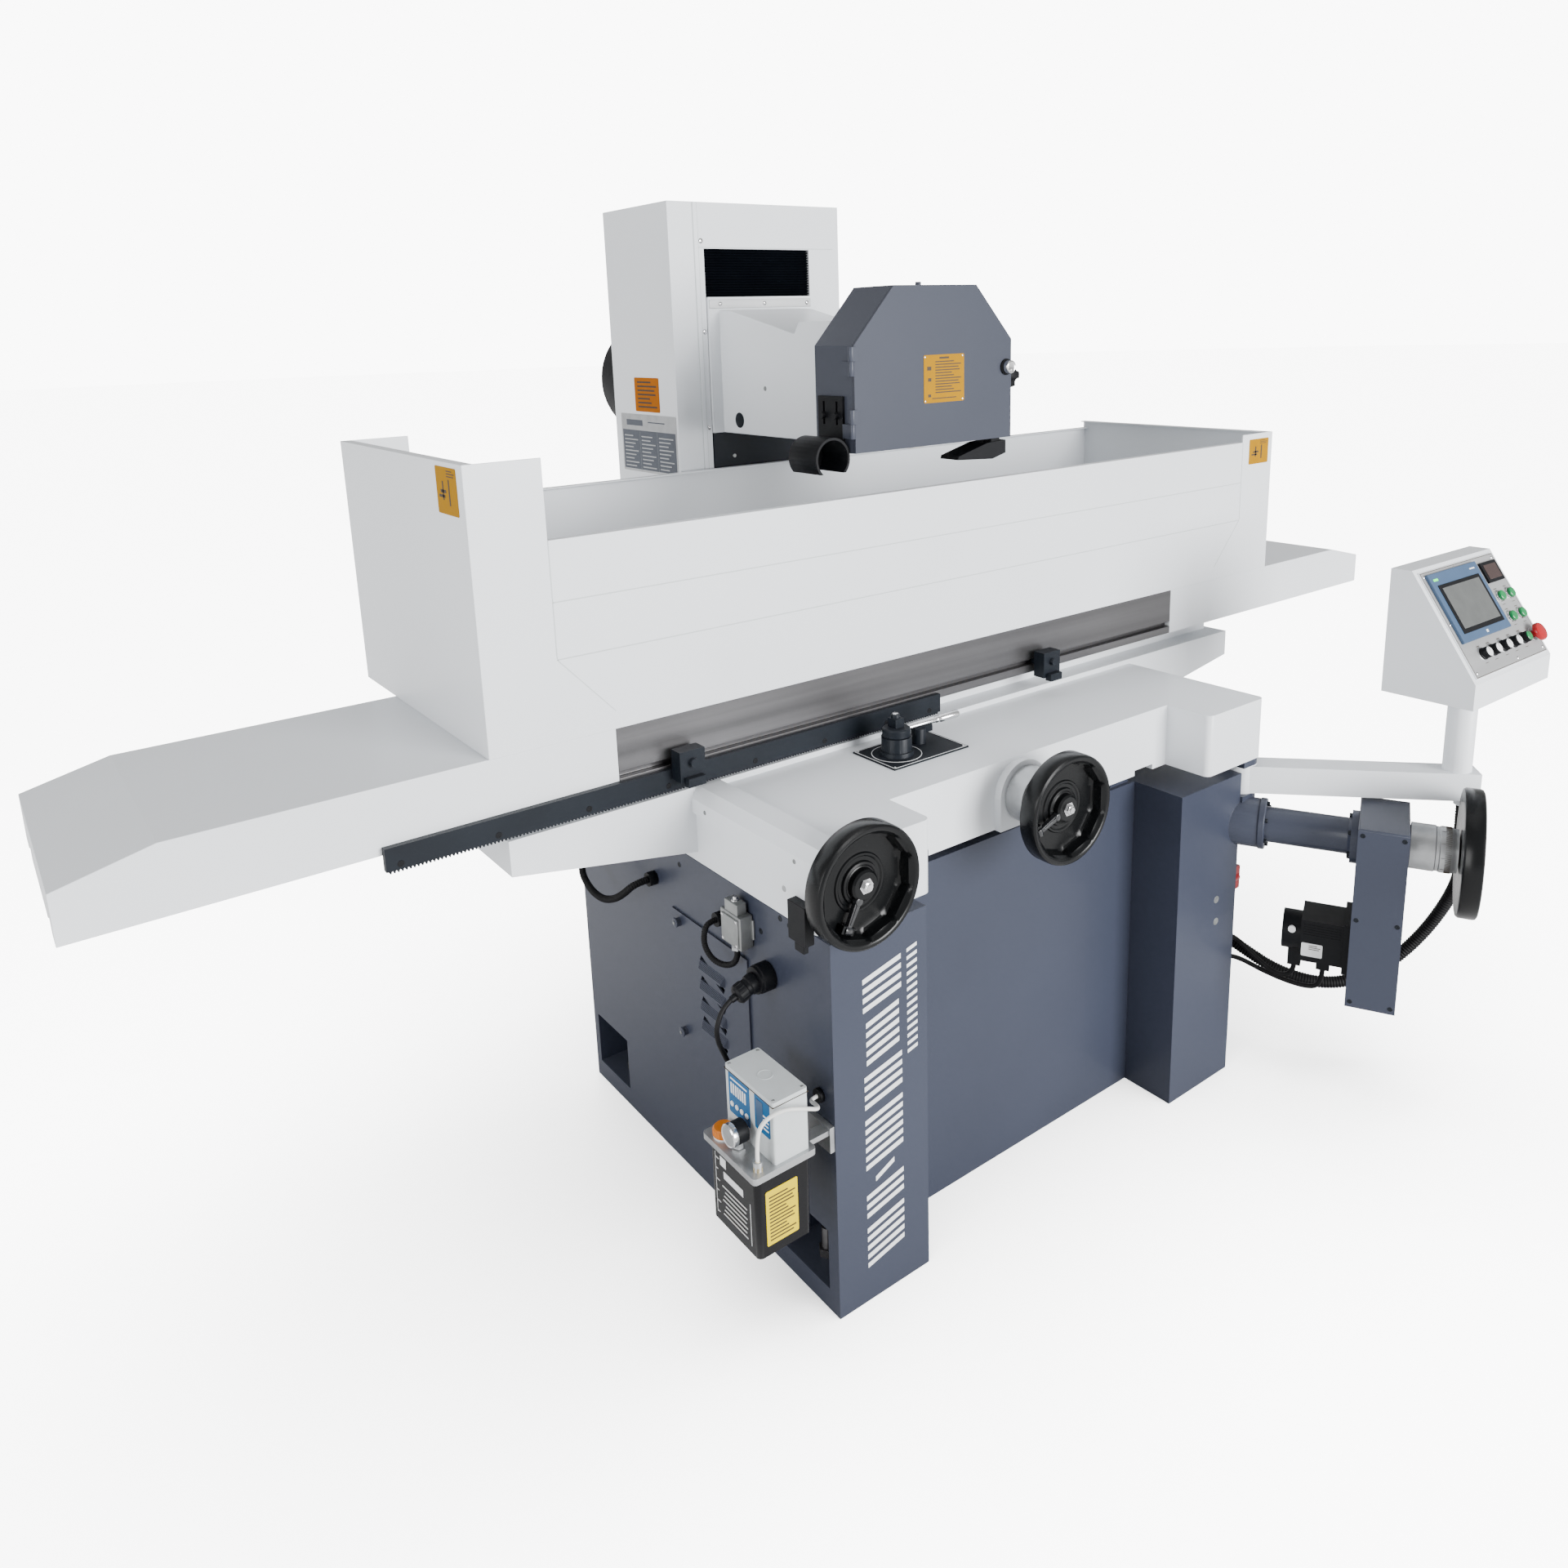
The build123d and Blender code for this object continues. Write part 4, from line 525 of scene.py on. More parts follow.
@dataclass
class Label:
    """A printed plate: a thin card with bars of print in place of any wording."""

    name: str
    body: str
    seat: Seat
    size: tuple[float, float]
    finish: Finish
    bars: list[tuple[float, float, float, float]]
    print_finish: Finish = INK
    corner: float = 2.0

    def build(self) -> None:
        """Builds the card and its print."""
        w, h = self.size[0] / 2, self.size[1] / 2
        c = self.corner
        outline = [(-w + c, -h), (w - c, -h), (w, -h + c), (w, h - c),
                   (w - c, h), (-w + c, h), (-w, h - c), (-w, -h + c)]
        Shape(self.seat).prism(outline, 0, 0.8).piece(self.name, self.body, self.finish)
        marks = Shape(self.seat)
        for x0, y0, x1, y1 in self.bars:
            marks.block((-w + x0 * 2 * w, -w + x1 * 2 * w), (-h + y0 * 2 * h, -h + y1 * 2 * h), (0.7, 1.0))
        marks.piece(f"{self.name}_print", self.body, self.print_finish)


def text_bars(rows: int, left: float, right: float,
              low: float, high: float) -> list[tuple[float, float, float, float]]:
    """Bars that stand in for lines of small print, as shares of a label's width and height.

    Args:
        rows: How many lines.
        left: Where the lines start.
        right: Where the longest line ends.
        low: The lowest line.
        high: The highest line.

    Returns:
        One (x0, y0, x1, y1) for each line.
    """
    pitch = (high - low) / rows
    ends = [right - (right - left) * (0.28, 0.0, 0.1, 0.05, 0.36)[i % 5] for i in range(rows)]
    return [(left, high - (i + 0.65) * pitch, ends[i], high - (i + 0.25) * pitch) for i in range(rows)]


class Surface(Enum):
    """How a flexible lead looks along its length."""

    SMOOTH = "plain jacket"
    RIBBED = "corrugated"


@dataclass
class Lead:
    """A cable, pipe or hose: the points it is led through, in millimetres, and what it is."""

    name: str
    node: str
    points: list[Point]
    diameter: float
    length: float
    finish: Finish
    surface: Surface = Surface.SMOOTH
    stiffness: str = "medium"
    pitch: float = 5.0
    crossing: tuple[str, str] | None = None

    def spline(self) -> bpy.types.Curve:
        """The lead's line as a smooth curve of one open spline."""
        curve = bpy.data.curves.new(self.name, "CURVE")
        curve.dimensions = "3D"
        line = curve.splines.new("NURBS")
        line.points.add(len(self.points) - 1)
        for point, place in zip(line.points, self.points):
            point.co = (*mm(*place), 1)
        line.order_u = 3
        line.use_endpoint_u = True
        line.resolution_u = 16
        return curve

    def build(self) -> bpy.types.Object:
        """Returns:
            The piece.
        """
        path = self._path()
        thing = self._tube(path)
        if self.crossing:
            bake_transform(thing)
        else:
            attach(thing, "base")
        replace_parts(thing, self.node)
        return thing

    def _path(self) -> list[Vector]:
        """Points along the smooth curve, evenly spaced.

        Returns:
            The points, in metres.
        """
        holder = bpy.data.objects.new(self.name, self.spline())
        bpy.context.scene.collection.objects.link(holder)
        raw = bpy.data.meshes.new_from_object(holder.evaluated_get(bpy.context.evaluated_depsgraph_get()))
        line = [v.co.copy() for v in raw.vertices]
        bpy.data.objects.remove(holder)
        bpy.data.meshes.remove(raw)
        step = self.pitch / 4000 if self.surface is Surface.RIBBED else 0.004
        runs = [(b - a).length for a, b in zip(line, line[1:])]
        count = max(8, round(sum(runs) / step))
        path, gone, index = [line[0]], 0.0, 0
        for k in range(1, count):
            target = sum(runs) * k / count
            while gone + runs[index] < target:
                gone += runs[index]
                index += 1
            path.append(line[index].lerp(line[index + 1], (target - gone) / runs[index]))
        return [*path, line[-1]]

    def _tube(self, path: list[Vector]) -> bpy.types.Object:
        """A tube of rings along the path, its radius rising and falling where it is ribbed.

        Args:
            path: The points it follows.

        Returns:
            The tube's object, with no body yet.
        """
        mesh = bmesh.new()
        rings, steps = [], 14
        side = None
        for k, point in enumerate(path):
            ahead = (path[min(k + 1, len(path) - 1)] - path[max(k - 1, 0)]).normalized()
            side = ahead.orthogonal() if side is None else side - ahead * side.dot(ahead)
            side = side.normalized()
            other = ahead.cross(side)
            radius = self.diameter / 2000
            if self.surface is Surface.RIBBED:
                radius *= (1.0, 0.93, 0.84, 0.93)[k % 4]
            rings.append([mesh.verts.new(point + side * radius * cos(2 * pi * i / steps)
                                         + other * radius * sin(2 * pi * i / steps)) for i in range(steps)])
        for low, high in zip(rings, rings[1:]):
            for i in range(steps):
                j = (i + 1) % steps
                mesh.faces.new((low[i], low[j], high[j], high[i]))
        mesh.faces.new(rings[0][::-1])
        mesh.faces.new(rings[-1])
        data = bpy.data.meshes.new(self.name)
        mesh.to_mesh(data)
        mesh.free()
        data.shade_smooth()
        data.set_sharp_from_angle(angle=radians(80))
        data.materials.append(self.finish.material())
        thing = bpy.data.objects.new(self.name, data)
        bpy.context.scene.collection.objects.link(thing)
        return thing


# ---------------------------------------------------------------- places shared by several assemblies
LEFT = facing_left(-590, 0, 0)
DRIVE_TURN = radians(27)
DRIVE = Seat((626, -586, 629), (cos(DRIVE_TURN), sin(DRIVE_TURN), 0), (sin(DRIVE_TURN), -cos(DRIVE_TURN), 0))
DRIVE_FRONT = Seat(DRIVE.out(0, 0, 305), DRIVE.x, DRIVE.z)
DRIVE_SIDE = Seat(DRIVE.out(-100, 0, 0), DRIVE.z, tuple(-Vector(DRIVE.x)))
PANEL_DEPTH, PANEL_RISE = 148, 216
PANEL_LENGTH = hypot(PANEL_DEPTH, PANEL_RISE)
PANEL_FACE = Seat((940, -888, 1120), (1, 0, 0), (0, -PANEL_RISE / PANEL_LENGTH, PANEL_DEPTH / PANEL_LENGTH))


# ---------------------------------------------------------------- base
@dataclass
class Base:
    """The cast base with its cover, feet, decal and left-side fittings."""

    front: float = -558.0
    louvres: tuple[float, ...] = (392.0, 436.0, 482.0, 526.0)
    hood_layers: int = 6
    thumbscrews: tuple[tuple[float, float], ...] = ((-58.0, 591.0), (-60.0, 343.0))
    stripe_x: float = -478.0
    stripe_pitch: float = 18.5
    stripe_groups: tuple[tuple[int, float], ...] = (
        (5, 44), (3, 44), (1, 22), (6, 44), (4, 44), (5, 38), (4, 44))
    short_stripes: int = 14
    short_pitch: float = 15.5

    def build(self) -> None:
        """Builds every part of the base."""
        dress({"base_casting": SLATE, "access_cover": SLATE}, 3.0)
        dress({"levelling_feet": STEEL, "cable_glands": BLACK}, 0.8)
        self._cover()
        self._decal()
        self._switch()
        self._socket()
        self._small_holes()

    def _cover(self) -> None:
        """The cover's pressed louvre hoods and its two thumbscrews."""
        hoods = Shape(facing_left(-594, 0, 0))
        for level in self.louvres:
            for k in range(self.hood_layers):
                hoods.block((131 + k, 223 - k), (level - 10 + k * 0.6, level + 12 - k * 2.6),
                            (-6, 1 + k * 1.3))
        hoods.piece("louvre_hoods", "base", SLATE, 1.0)
        for index, (y, z) in enumerate(self.thumbscrews, 1):
            seat = facing_left(-602, y, z)
            knob = Shape(seat).turned([(9.5, 0), (10.5, 1), (9.8, 3), (5, 4), (0, 4)], steps=20)
            knob.piece(f"thumbscrew_{index}", "base", SLATE)
            tip = Shape(seat).turned([(3.2, 4), (3.2, 5.2), (0, 5.6)], steps=14)
            tip.piece(f"thumbscrew_tip_{index}", "base", DIECAST)

    def _decal(self) -> None:
        """A column of slanted white blocks up the left leg, with a short one beside it."""
        decal = Shape(facing_front(self.stripe_x, self.front, 0))
        level = 72.0
        for count, reach in self.stripe_groups:
            for _ in range(count):
                corners = [(-reach, level), (reach, level + 20), (reach, level + 30), (-reach, level + 10)]
                decal.prism(corners, 0, 0.5)
                level += self.stripe_pitch
            level += 13
        for k in range(self.short_stripes):
            low = 474 + self.short_pitch * k
            decal.prism([(58, low), (82, low + 6), (82, low + 13), (58, low + 7)], 0, 0.5)
        decal.piece("leg_stripes", "base", LIGHT)

    def _switch(self) -> None:
        """The limit switch: a die-cast body with a cover plate, screws, plunger head and cable nut."""
        body = Shape(LEFT)
        body.block((262, 328), (648, 714), (2, 30)).block((268, 322), (652, 708), (29, 33))
        body.block((274, 316), (712, 736), (6, 28)).block((258, 332), (664, 704), (0, 5))
        piece = body.piece("limit_switch_body", "base", DIECAST, 2.0)
        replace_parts(piece, "limit_switch")
        top = Shape(facing_up(-607, -295, 735))
        top.rod((0, 0), 8, -2, 3, 1).rod((0, 0), 4.5, 2, 8.5, 2)
        top.piece("limit_switch_plunger", "base", CHROME)
        nut = Shape(Seat((-607, -295, 649), (1, 0, 0), (0, 0, -1)))
        nut.turned([(11, 0), (11, 5), (12, 5.5), (12, 12), (9, 13), (0, 13)], steps=6)
        nut.piece("limit_switch_nut", "base", SATIN)
        Screws("limit_switch_screws", "base", facing_left(-623, 0, 0),
               [(272, 656), (318, 656), (272, 704), (318, 704)], 3.4, 1.0, CHROME, False).build()

    def _socket(self) -> None:
        """The wall socket and the plug in it, with ribs for the hand."""
        slant = facing_left(-590, -372, 612)
        cup = Shape(slant)
        cup.turned([(24, 0), (27, 2), (27, 26), (25.5, 28), (25.5, 33), (21, 34), (0, 34)])
        piece = cup.piece("socket_cup", "base", BLACK)
        plug = Shape(Seat((-620, -372, 612), (0, -1, 0), (-1, 0, -0.35)))
        plug.turned([(17, 0), (19, 3), (19, 16), (16.5, 18), (16.5, 24), (18, 26), (18, 42), (14, 46),
                     (7, 47), (6.5, 57.3), (0, 57.3)])
        for k in range(12):
            turn = 2 * pi * k / 12
            plug.rod((17.8 * cos(turn), 17.8 * sin(turn)), 1.1, 27, 41, 0.5, 8)
        other = plug.piece("socket_plug", "base", BLACK)
        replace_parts(piece, "wall_socket")
        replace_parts(other, "wall_socket")

    def _small_holes(self) -> None:
        """Plugged and tapped holes on the left side and on the right leg's front."""
        Screws("side_plugs", "base", LEFT, [(65, 717), (414, 741), (441, 738), (351, 690)], 6.0, 0.8,
               DARK).build()
        Screws("leg_plugs", "base", facing_front(0, self.front, 0),
               [(517, 463), (519, 408)], 9.0, 0.8, DIECAST).build()


# ---------------------------------------------------------------- oil pump
@dataclass
class OilPump:
    """The lubricator: smoked tank, die-cast lid, gauge, cap and control box."""

    lid_top: float = 396.0
    tank_face: float = -762.0
    box_face: float = -724.0

    def build(self) -> None:
        """Builds every part of the pump."""
        dress({"lubricator_tank": SMOKE}, 1.0)
        dress({"lubricator_lid": SATIN}, 1.5)
        dress({"lubricator_box": GREY_AND_FOLD_SHADE}, 2.0)
        self._gauge()
        self._cap()
        self._box()
        self._tank()

    def _gauge(self) -> None:
        """The pressure gauge: black case, bright rim and face."""
        seat = facing_left(-738, -492, self.lid_top + 34)
        case = Shape(seat).turned([(17, -3), (20.4, -1), (20.4, 22), (0, 22)])
        case.piece("gauge_case", "base", BLACK)
        rim = Shape(seat).turned([(20.6, 20), (21, 22), (21, 29), (19, 31), (17, 30), (16, 26), (0, 26)])
        rim.piece("gauge_rim", "base", CHROME)
        dial = Shape(seat).turned([(15.5, 26.1), (15.5, 26.6), (0, 26.6)])
        dial.piece("gauge_dial", "base", LIGHT)
        marks = Shape(seat)
        for k in range(9):
            turn = radians(-120 + 30 * k)
            x, y = 12 * sin(turn), 12 * cos(turn)
            marks.block((x - 0.5, x + 0.5), (y - 0.5, y + 0.5), (26.5, 27))
        marks.block((-0.6, 0.6), (-3, 11), (26.8, 27.2), -50)
        marks.piece("gauge_marks", "base", INK)
        foot = Shape(facing_up(-748, -492, self.lid_top))
        foot.turned([(13, -0.5), (13, 4), (9, 5), (9, 15), (7, 17), (7, 24), (0, 24)], steps=6)
        foot.piece("gauge_foot", "base", SATIN)

    def _cap(self) -> None:
        """The ribbed orange filler cap on its neck."""
        seat = facing_up(-748, -446, self.lid_top)
        neck = Shape(seat).turned([(18.5, -0.5), (18.5, 3), (16, 3.5), (0, 3.5)])
        neck.piece("filler_neck", "base", LIGHT)
        cap = Shape(seat).turned([(18, 3), (19, 4), (19, 16), (16.5, 19), (0, 19.5)])
        for k in range(20):
            turn = 2 * pi * k / 20
            cap.rod((18.6 * cos(turn), 18.6 * sin(turn)), 1.2, 4.5, 16, 0.5, 8)
        cap.piece("filler_cap", "base", ORANGE)
        inlet = Shape(facing_up(-752, -556, self.lid_top))
        inlet.turned([(9, -0.5), (9, 8), (7, 9), (7, 14), (5, 17.2), (0, 17.2)], steps=6)
        inlet.piece("pipe_fitting", "base", BRASS)

    def _box(self) -> None:
        """The control box's lid line, corner screws, blue legends and keys."""
        top = Seat((-688, -493, 514), (0, -1, 0), (0, 0, 1))
        lid = Shape(top).block((-74, 74), (-37, 37), (-9, -8))
        lid.piece("box_seam", "base", INK)
        corners = [(-66, -30), (66, -30), (-66, 30), (66, 30)]
        Screws("box_screws", "base", top, corners, 3.2, 1.0, DIECAST).build()
        emblem = Shape(top)
        emblem.turned([(14, -0.5), (14, 0.6), (12.5, 0.6), (12.5, -0.5)])
        emblem.piece("box_emblem", "base", GREY_AND_FOLD_SHADE)
        face = facing_left(self.box_face, -464, 466)
        bars = [(0.1 + 0.11 * k, 0.5, 0.17 + 0.11 * k, 0.78) for k in range(7)]
        Label("pump_legend", "base", face, (64, 78), BLUE, bars + [(0.1, 0.86, 0.9, 0.9)], LIGHT).build()
        keys = Shape(face)
        for k in range(4):
            keys.rod((-22 + 15 * k, -20), 5, 0.8, 2.6, 0.8, 20)
        keys.piece("pump_keys", "base", LIGHT)
        side = facing_left(self.box_face, -534, 473)
        lines = text_bars(4, 0.56, 0.94, 0.12, 0.6)
        Label("pump_legend_right", "base", side, (44, 66), BLUE, lines, LIGHT).build()
        dark = Shape(side).block((-17, 3), (-26, 26), (0.8, 1.6))
        dark.piece("pump_window", "base", BEZEL, 0.5)

    def _tank(self) -> None:
        """The tank's scale, its pale plates and its yellow sticker."""
        front = facing_left(self.tank_face, -492, 306)
        marks = Shape(front)
        marks.block((-56, -55), (-62, 60), (0, 0.5)).block((50, 51.5), (-62, 20), (0, 0.5))
        for k in range(6):
            marks.block((-56, -48 + 4 * (k % 2)), (-60 + 22 * k, -58.5 + 22 * k), (0, 0.5))
        for k in range(7):
            marks.block((-36 + 4 * (k % 3), 40 - 3 * (k % 2)), (-56 + 9.5 * k, -54 + 9.5 * k), (0, 0.5))
        marks.block((-30, 30), (20, 34), (0, 0.5)).block((-40, -22), (42, 60), (0, 0.5))
        marks.piece("tank_print", "base", LIGHT)
        side = facing_front(-712, -564, 300)
        Label("tank_sticker", "base", side, (66, 106), LEMON, text_bars(13, 0.1, 0.92, 0.05, 0.9)).build()


# ---------------------------------------------------------------- saddle, table and guard
@dataclass
class Saddle:
    """The saddle with its edge strip, valve plate, reversing lever and trip block."""

    top: float = 935.0
    left: float = -640.0
    valve: tuple[float, float] = (-235.0, -325.0)

    def build(self) -> None:
        """Builds every part of the saddle."""
        dress({"saddle_casting": WHITE}, 3.0)
        dress({"trip_block": BLACK}, 1.5)
        dress({"reversing_valve": DARK}, 1.0)
        self._strip()
        self._valve()
        self._lever()

    def _strip(self) -> None:
        """The screws along the saddle's left edge, and the plugs low on its corner."""
        side = facing_left(self.left - 8, 0, 0)
        Screws("strip_screws", "saddle", side, [(272, 912), (545, 916)], 4.5, 0.8, DIECAST).build()
        low = facing_left(self.left, 0, 0)
        Screws("corner_plugs", "saddle", low, [(502, 849), (536, 844)], 6.0, 0.8, SATIN).build()

    def _valve(self) -> None:
        """The black valve plate's bright border, rivets and engraved ring."""
        seat = facing_up(-197.5, -325, self.top + 3)
        border = Shape(seat)
        for x, y in (((-95, 95), (-61, -59.8)), ((-95, 95), (59.8, 61)),
                     ((-95, -93.8), (-61, 61)), ((93.8, 95), (-61, 61))):
            border.block(x, y, (-0.2, 0.4))
        border.turned([(50, -0.2), (50, 0.4), (48.8, 0.4), (48.8, -0.2)], (-37.5, 0))
        border.piece("valve_plate_border", "saddle", LIGHT)
        Screws("valve_plate_rivets", "saddle", seat, [(-90, -56), (90, -56), (-90, 56), (90, 56)], 2.6, 1.2,
               CHROME, False).build()

    def _lever(self) -> None:
        """The reversing lever: a black hub with a bright arm, collar and thimble grip."""
        level = self.top + 40.3
        hub = Shape(facing_up(*self.valve, level))
        hub.turned([(27, 0), (28, 1), (28, 15), (25, 17.5), (0, 18)])
        hub.block((-10, 12), (-10, 14), (17, 36)).rod((0, 2), 9, 34, 44, 2)
        hub.turned([(9.9, -55), (9.9, 1)])
        piece = hub.piece("lever_hub", "valve_lever", DARK, 0.8)
        arm = Shape(Seat((self.valve[0] + 10, self.valve[1], level + 9), (0, 0, 1), (1, -0.12, 0.05)))
        arm.turned([(5.2, 0), (5.2, 84), (6.6, 86), (6.6, 92), (6, 93), (7.9, 97), (7.9, 136), (6.6, 141),
                    (0, 142)], steps=28)
        other = arm.piece("lever_arm", "valve_lever", CHROME)
        nut = Shape(facing_up(self.valve[0], self.valve[1] + 2, level + 44))
        nut.turned([(6.5, 0), (6.5, 1.6), (5, 2), (0, 2)], steps=6)
        nut.piece("lever_nut", "valve_lever", CHROME)
        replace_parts(piece, "reversing_lever")
        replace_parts(other, "reversing_lever")


@dataclass
class Table:
    """The ground table with its chuck, rack, trip dogs and end covers."""

    rack_x: tuple[float, float] = (-1203.0, -38.0)
    rack_z: tuple[float, float] = (955.0, 998.0)
    rack_front: float = -240.0
    rack_thick: float = 12.0
    rack_screws: tuple[float, ...] = (-1180, -1020, -857, -700, -512, -347, -188, -69)
    tooth: float = 6.283
    pole_pitch: float = 14.0
    pole_width: float = 2.5
    pole_margin: float = 22.0
    dogs: tuple[tuple[str, float], ...] = (("left_dog", -666.0), ("right_dog", 275.0))

    def build(self) -> None:
        """Builds every part of the table."""
        dress({"table_casting": STEEL}, 1.2)
        dress({"table_covers": WHITE}, 1.5)
        dress({"magnetic_chuck": CHUCK}, 1.0)
        dress({"left_trip_dog": DARK, "right_trip_dog": DARK}, 1.0)
        self._rack()
        self._chuck_poles()
        for body, x in self.dogs:
            seat = facing_front(x, -270.3, 1015)
            Screws(f"{body}_screw", body, seat, [(0, -1)], 6.0, 5.0, BLACK).build()

    def _rack(self) -> None:
        """The toothed rack under the table's front edge, with its low screws."""
        low, high = self.rack_z
        count = int((self.rack_x[1] - self.rack_x[0] - 8) / self.tooth)
        outline = [(self.rack_x[0], high), (self.rack_x[0], low + 4)]
        for k in range(count):
            x = self.rack_x[0] + 4 + k * self.tooth
            outline += [(x, low + 4), (x + 1.4, low), (x + 2.9, low), (x + 4.3, low + 4)]
        outline += [(self.rack_x[1], low + 4), (self.rack_x[1], high)]
        rack = Shape(facing_front(0, self.rack_front, 0))
        rack.prism(outline, -self.rack_thick, 0)
        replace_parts(rack.piece("toothed_rack", "table", DARK), "rack")
        places = [(x, 968) for x in self.rack_screws]
        Screws("rack_screws", "table", rack.seat, places, 6.0, 0.6, BLACK).build()

    def _chuck_poles(self) -> None:
        """The chuck's fine brass pole lines across its top."""
        low, high = [[1000 * value for value in corner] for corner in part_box("magnetic_chuck")]
        poles = Shape()
        count = int((high[0] - low[0]) / self.pole_pitch) - 2
        for k in range(count):
            x = low[0] + 18 + self.pole_pitch * k
            poles.block((x, x + self.pole_width), (low[1] + self.pole_margin, high[1] - self.pole_margin),
                        (high[2] - 0.5, high[2] + 0.15))
        poles.piece("chuck_poles", "table", BRASS)


@dataclass
class SplashGuard:
    """The sheet guard round the table, with painted shade along its folds, and its hems and plates."""

    left: float = -1021.0
    right: float = 1158.0
    front: float = -232.0
    top: float = 1438.0
    wing: float = 131.0

    def build(self) -> None:
        """Builds every part of the guard."""
        dress({"guard_front": WHITE, "guard_tray": WHITE}, 1.2)
        self._paint_fold_shade()
        self._hem()
        self._plates()

    def _paint_fold_shade(self) -> None:
        """Painted shade along the fold lines and end creases of the front panel: thin grey strips where the
        sheet bends.
        """
        face = facing_front(0, self.front, 0)
        folds = Shape(face)
        start, end = self.left + self.wing, self.right - self.wing
        for level in (1335, 1238):
            corners = [(start, level - 1), (end, level - 1), (end, level + 1), (start, level + 1)]
            folds.prism(corners, -0.4, 0.5)
        for x, foot in ((start, start + 100), (end, end - 100)):
            folds.prism([(x, 1239), (foot, 1129), (foot, 1127), (x, 1237)], -0.4, 0.5)
        for x in (start, end):
            folds.block((x - 0.8, x + 0.8), (1240, self.top), (-0.4, 0.5))
        # grey strips: painted shade at the folds and creases, not a colour of the sheet
        folds.piece("guard_fold_painted_shade", "table", GREY_AND_FOLD_SHADE)

    def _hem(self) -> None:
        """Return flanges along the tops of the back and end walls."""
        hem = Shape()
        hem.block((self.left + 8, self.right - 8), (377, 393), (self.top - 3, self.top))
        hem.block((self.left + 4, self.left + 20), (-226, 394), (1569, 1572))
        hem.block((self.right - 20, self.right - 4), (-226, 394), (1454, 1457))
        hem.piece("guard_hem", "table", WHITE, 0.8)

    def _plates(self) -> None:
        """The yellow pictogram plates on the left end and the right wing."""
        bars = [(0.12, 0.35, 0.42, 0.41), (0.2, 0.45, 0.48, 0.52), (0.3, 0.3, 0.36, 0.7),
                (0.6, 0.2, 0.66, 0.75)]
        bars += text_bars(3, 0.55, 0.92, 0.78, 0.95)
        left = facing_left(self.left, -162, 1526)
        Label("left_plate", "table", left, (88, 76), YELLOW, bars).build()
        right = facing_front(1098, self.front, 1411)
        Label("right_plate", "table", right, (84, 64), YELLOW, bars).build()


# ---------------------------------------------------------------- column, head and wheel
@dataclass
class Column:
    """The column with its cover seams, plates and bellows."""

    half: float = 245.0
    front: float = 428.0
    top: float = 2046.0
    foot: float = 1120.0
    pleats: int = 18

    def build(self) -> None:
        """Builds every part of the column."""
        dress({"column": WHITE}, 3.0)
        self._seams()
        self._plates()
        self._bellows()

    def _seams(self) -> None:
        """The front cover's edges, its header's lower edge and its screws."""
        face = facing_front(0, self.front, 0)
        seams = Shape(face)
        for x in ((-179, -177), (-168, -166)):
            seams.block(x, (self.foot, self.top - 1), (-0.5, 1.2))
        seams.block((-166, 226), (1945, 1946.5), (-0.5, 1.2))
        seams.piece("column_seams", "base", GREY_AND_FOLD_SHADE)
        flange = Shape(face).block((-177.5, -167.5), (self.foot, self.top - 2), (-0.5, 2.2))
        flange.piece("column_flange", "base", WHITE, 0.6)
        places = [(-159, level) for level in (1755, 1533, 1300, 1960)]
        Screws("column_screws", "base", face, places, 6.0, 2.0, CHROME, False).build()

    def _plates(self) -> None:
        """The amber notice and the machine's data plate on the left side."""
        amber = facing_left(-self.half, 568, 1610)
        Label("amber_plate", "base", amber, (118, 82), AMBER, text_bars(7, 0.12, 0.9, 0.08, 0.92)).build()
        data = facing_left(-self.half, 571, 1491)
        width, height = 268, 142
        grounds = [(0.02, 0.04, 0.98, 0.72), (0.1, 0.8, 0.4, 0.9), (0.5, 0.86, 0.8, 0.88)]
        Label("data_plate", "base", data, (width, height), SATIN, grounds, SHADE).build()
        bars = []
        for column in range(3):
            for row in range(9):
                left, low = 0.05 + 0.32 * column, 0.08 + 0.066 * row
                bars.append((left, low, left + (0.2, 0.25, 0.16)[(row + column) % 3], low + 0.02))
        bars += [(0.34, 0.04, 0.342, 0.7), (0.66, 0.04, 0.662, 0.7)]
        lines = Shape(data)
        for x0, y0, x1, y1 in bars:
            lines.block((width * (x0 - 0.5), width * (x1 - 0.5)), (height * (y0 - 0.5), height * (y1 - 0.5)),
                        (0.9, 1.3))
        lines.piece("data_plate_lines", "base", SATIN)

    def _bellows(self) -> None:
        """The pleated cover over the slot above the head, built as a fixed pleated sheet that does not fold
        with the head.
        """
        low, high = 1834.0, 1942.0
        folds = self.pleats * 2
        rows = [(self.front + (10 if k % 2 else -1), low + (high - low) * k / folds)
                for k in range(folds + 1)]
        mesh = bmesh.new()
        front = [[mesh.verts.new(mm(x, y, z)) for y, z in rows] for x in (-150, 150)]
        back = [[mesh.verts.new(mm(x, y + 3, z)) for y, z in rows] for x in (-150, 150)]
        for a, b in ((front[0], front[1]), (back[1], back[0]), (back[0], front[0]), (front[1], back[1])):
            for i in range(len(rows) - 1):
                mesh.faces.new((a[i], b[i], b[i + 1], a[i + 1]))
        for end in (0, -1):
            mesh.faces.new((front[0][end], front[1][end], back[1][end], back[0][end]))
        bmesh.ops.recalc_face_normals(mesh, faces=mesh.faces)
        data = bpy.data.meshes.new("slot_bellows")
        mesh.to_mesh(data)
        mesh.free()
        data.materials.append(CLOTH.material())
        thing = bpy.data.objects.new("slot_bellows", data)
        bpy.context.scene.collection.objects.link(thing)
        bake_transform(thing)
        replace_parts(thing, "column_bellows")


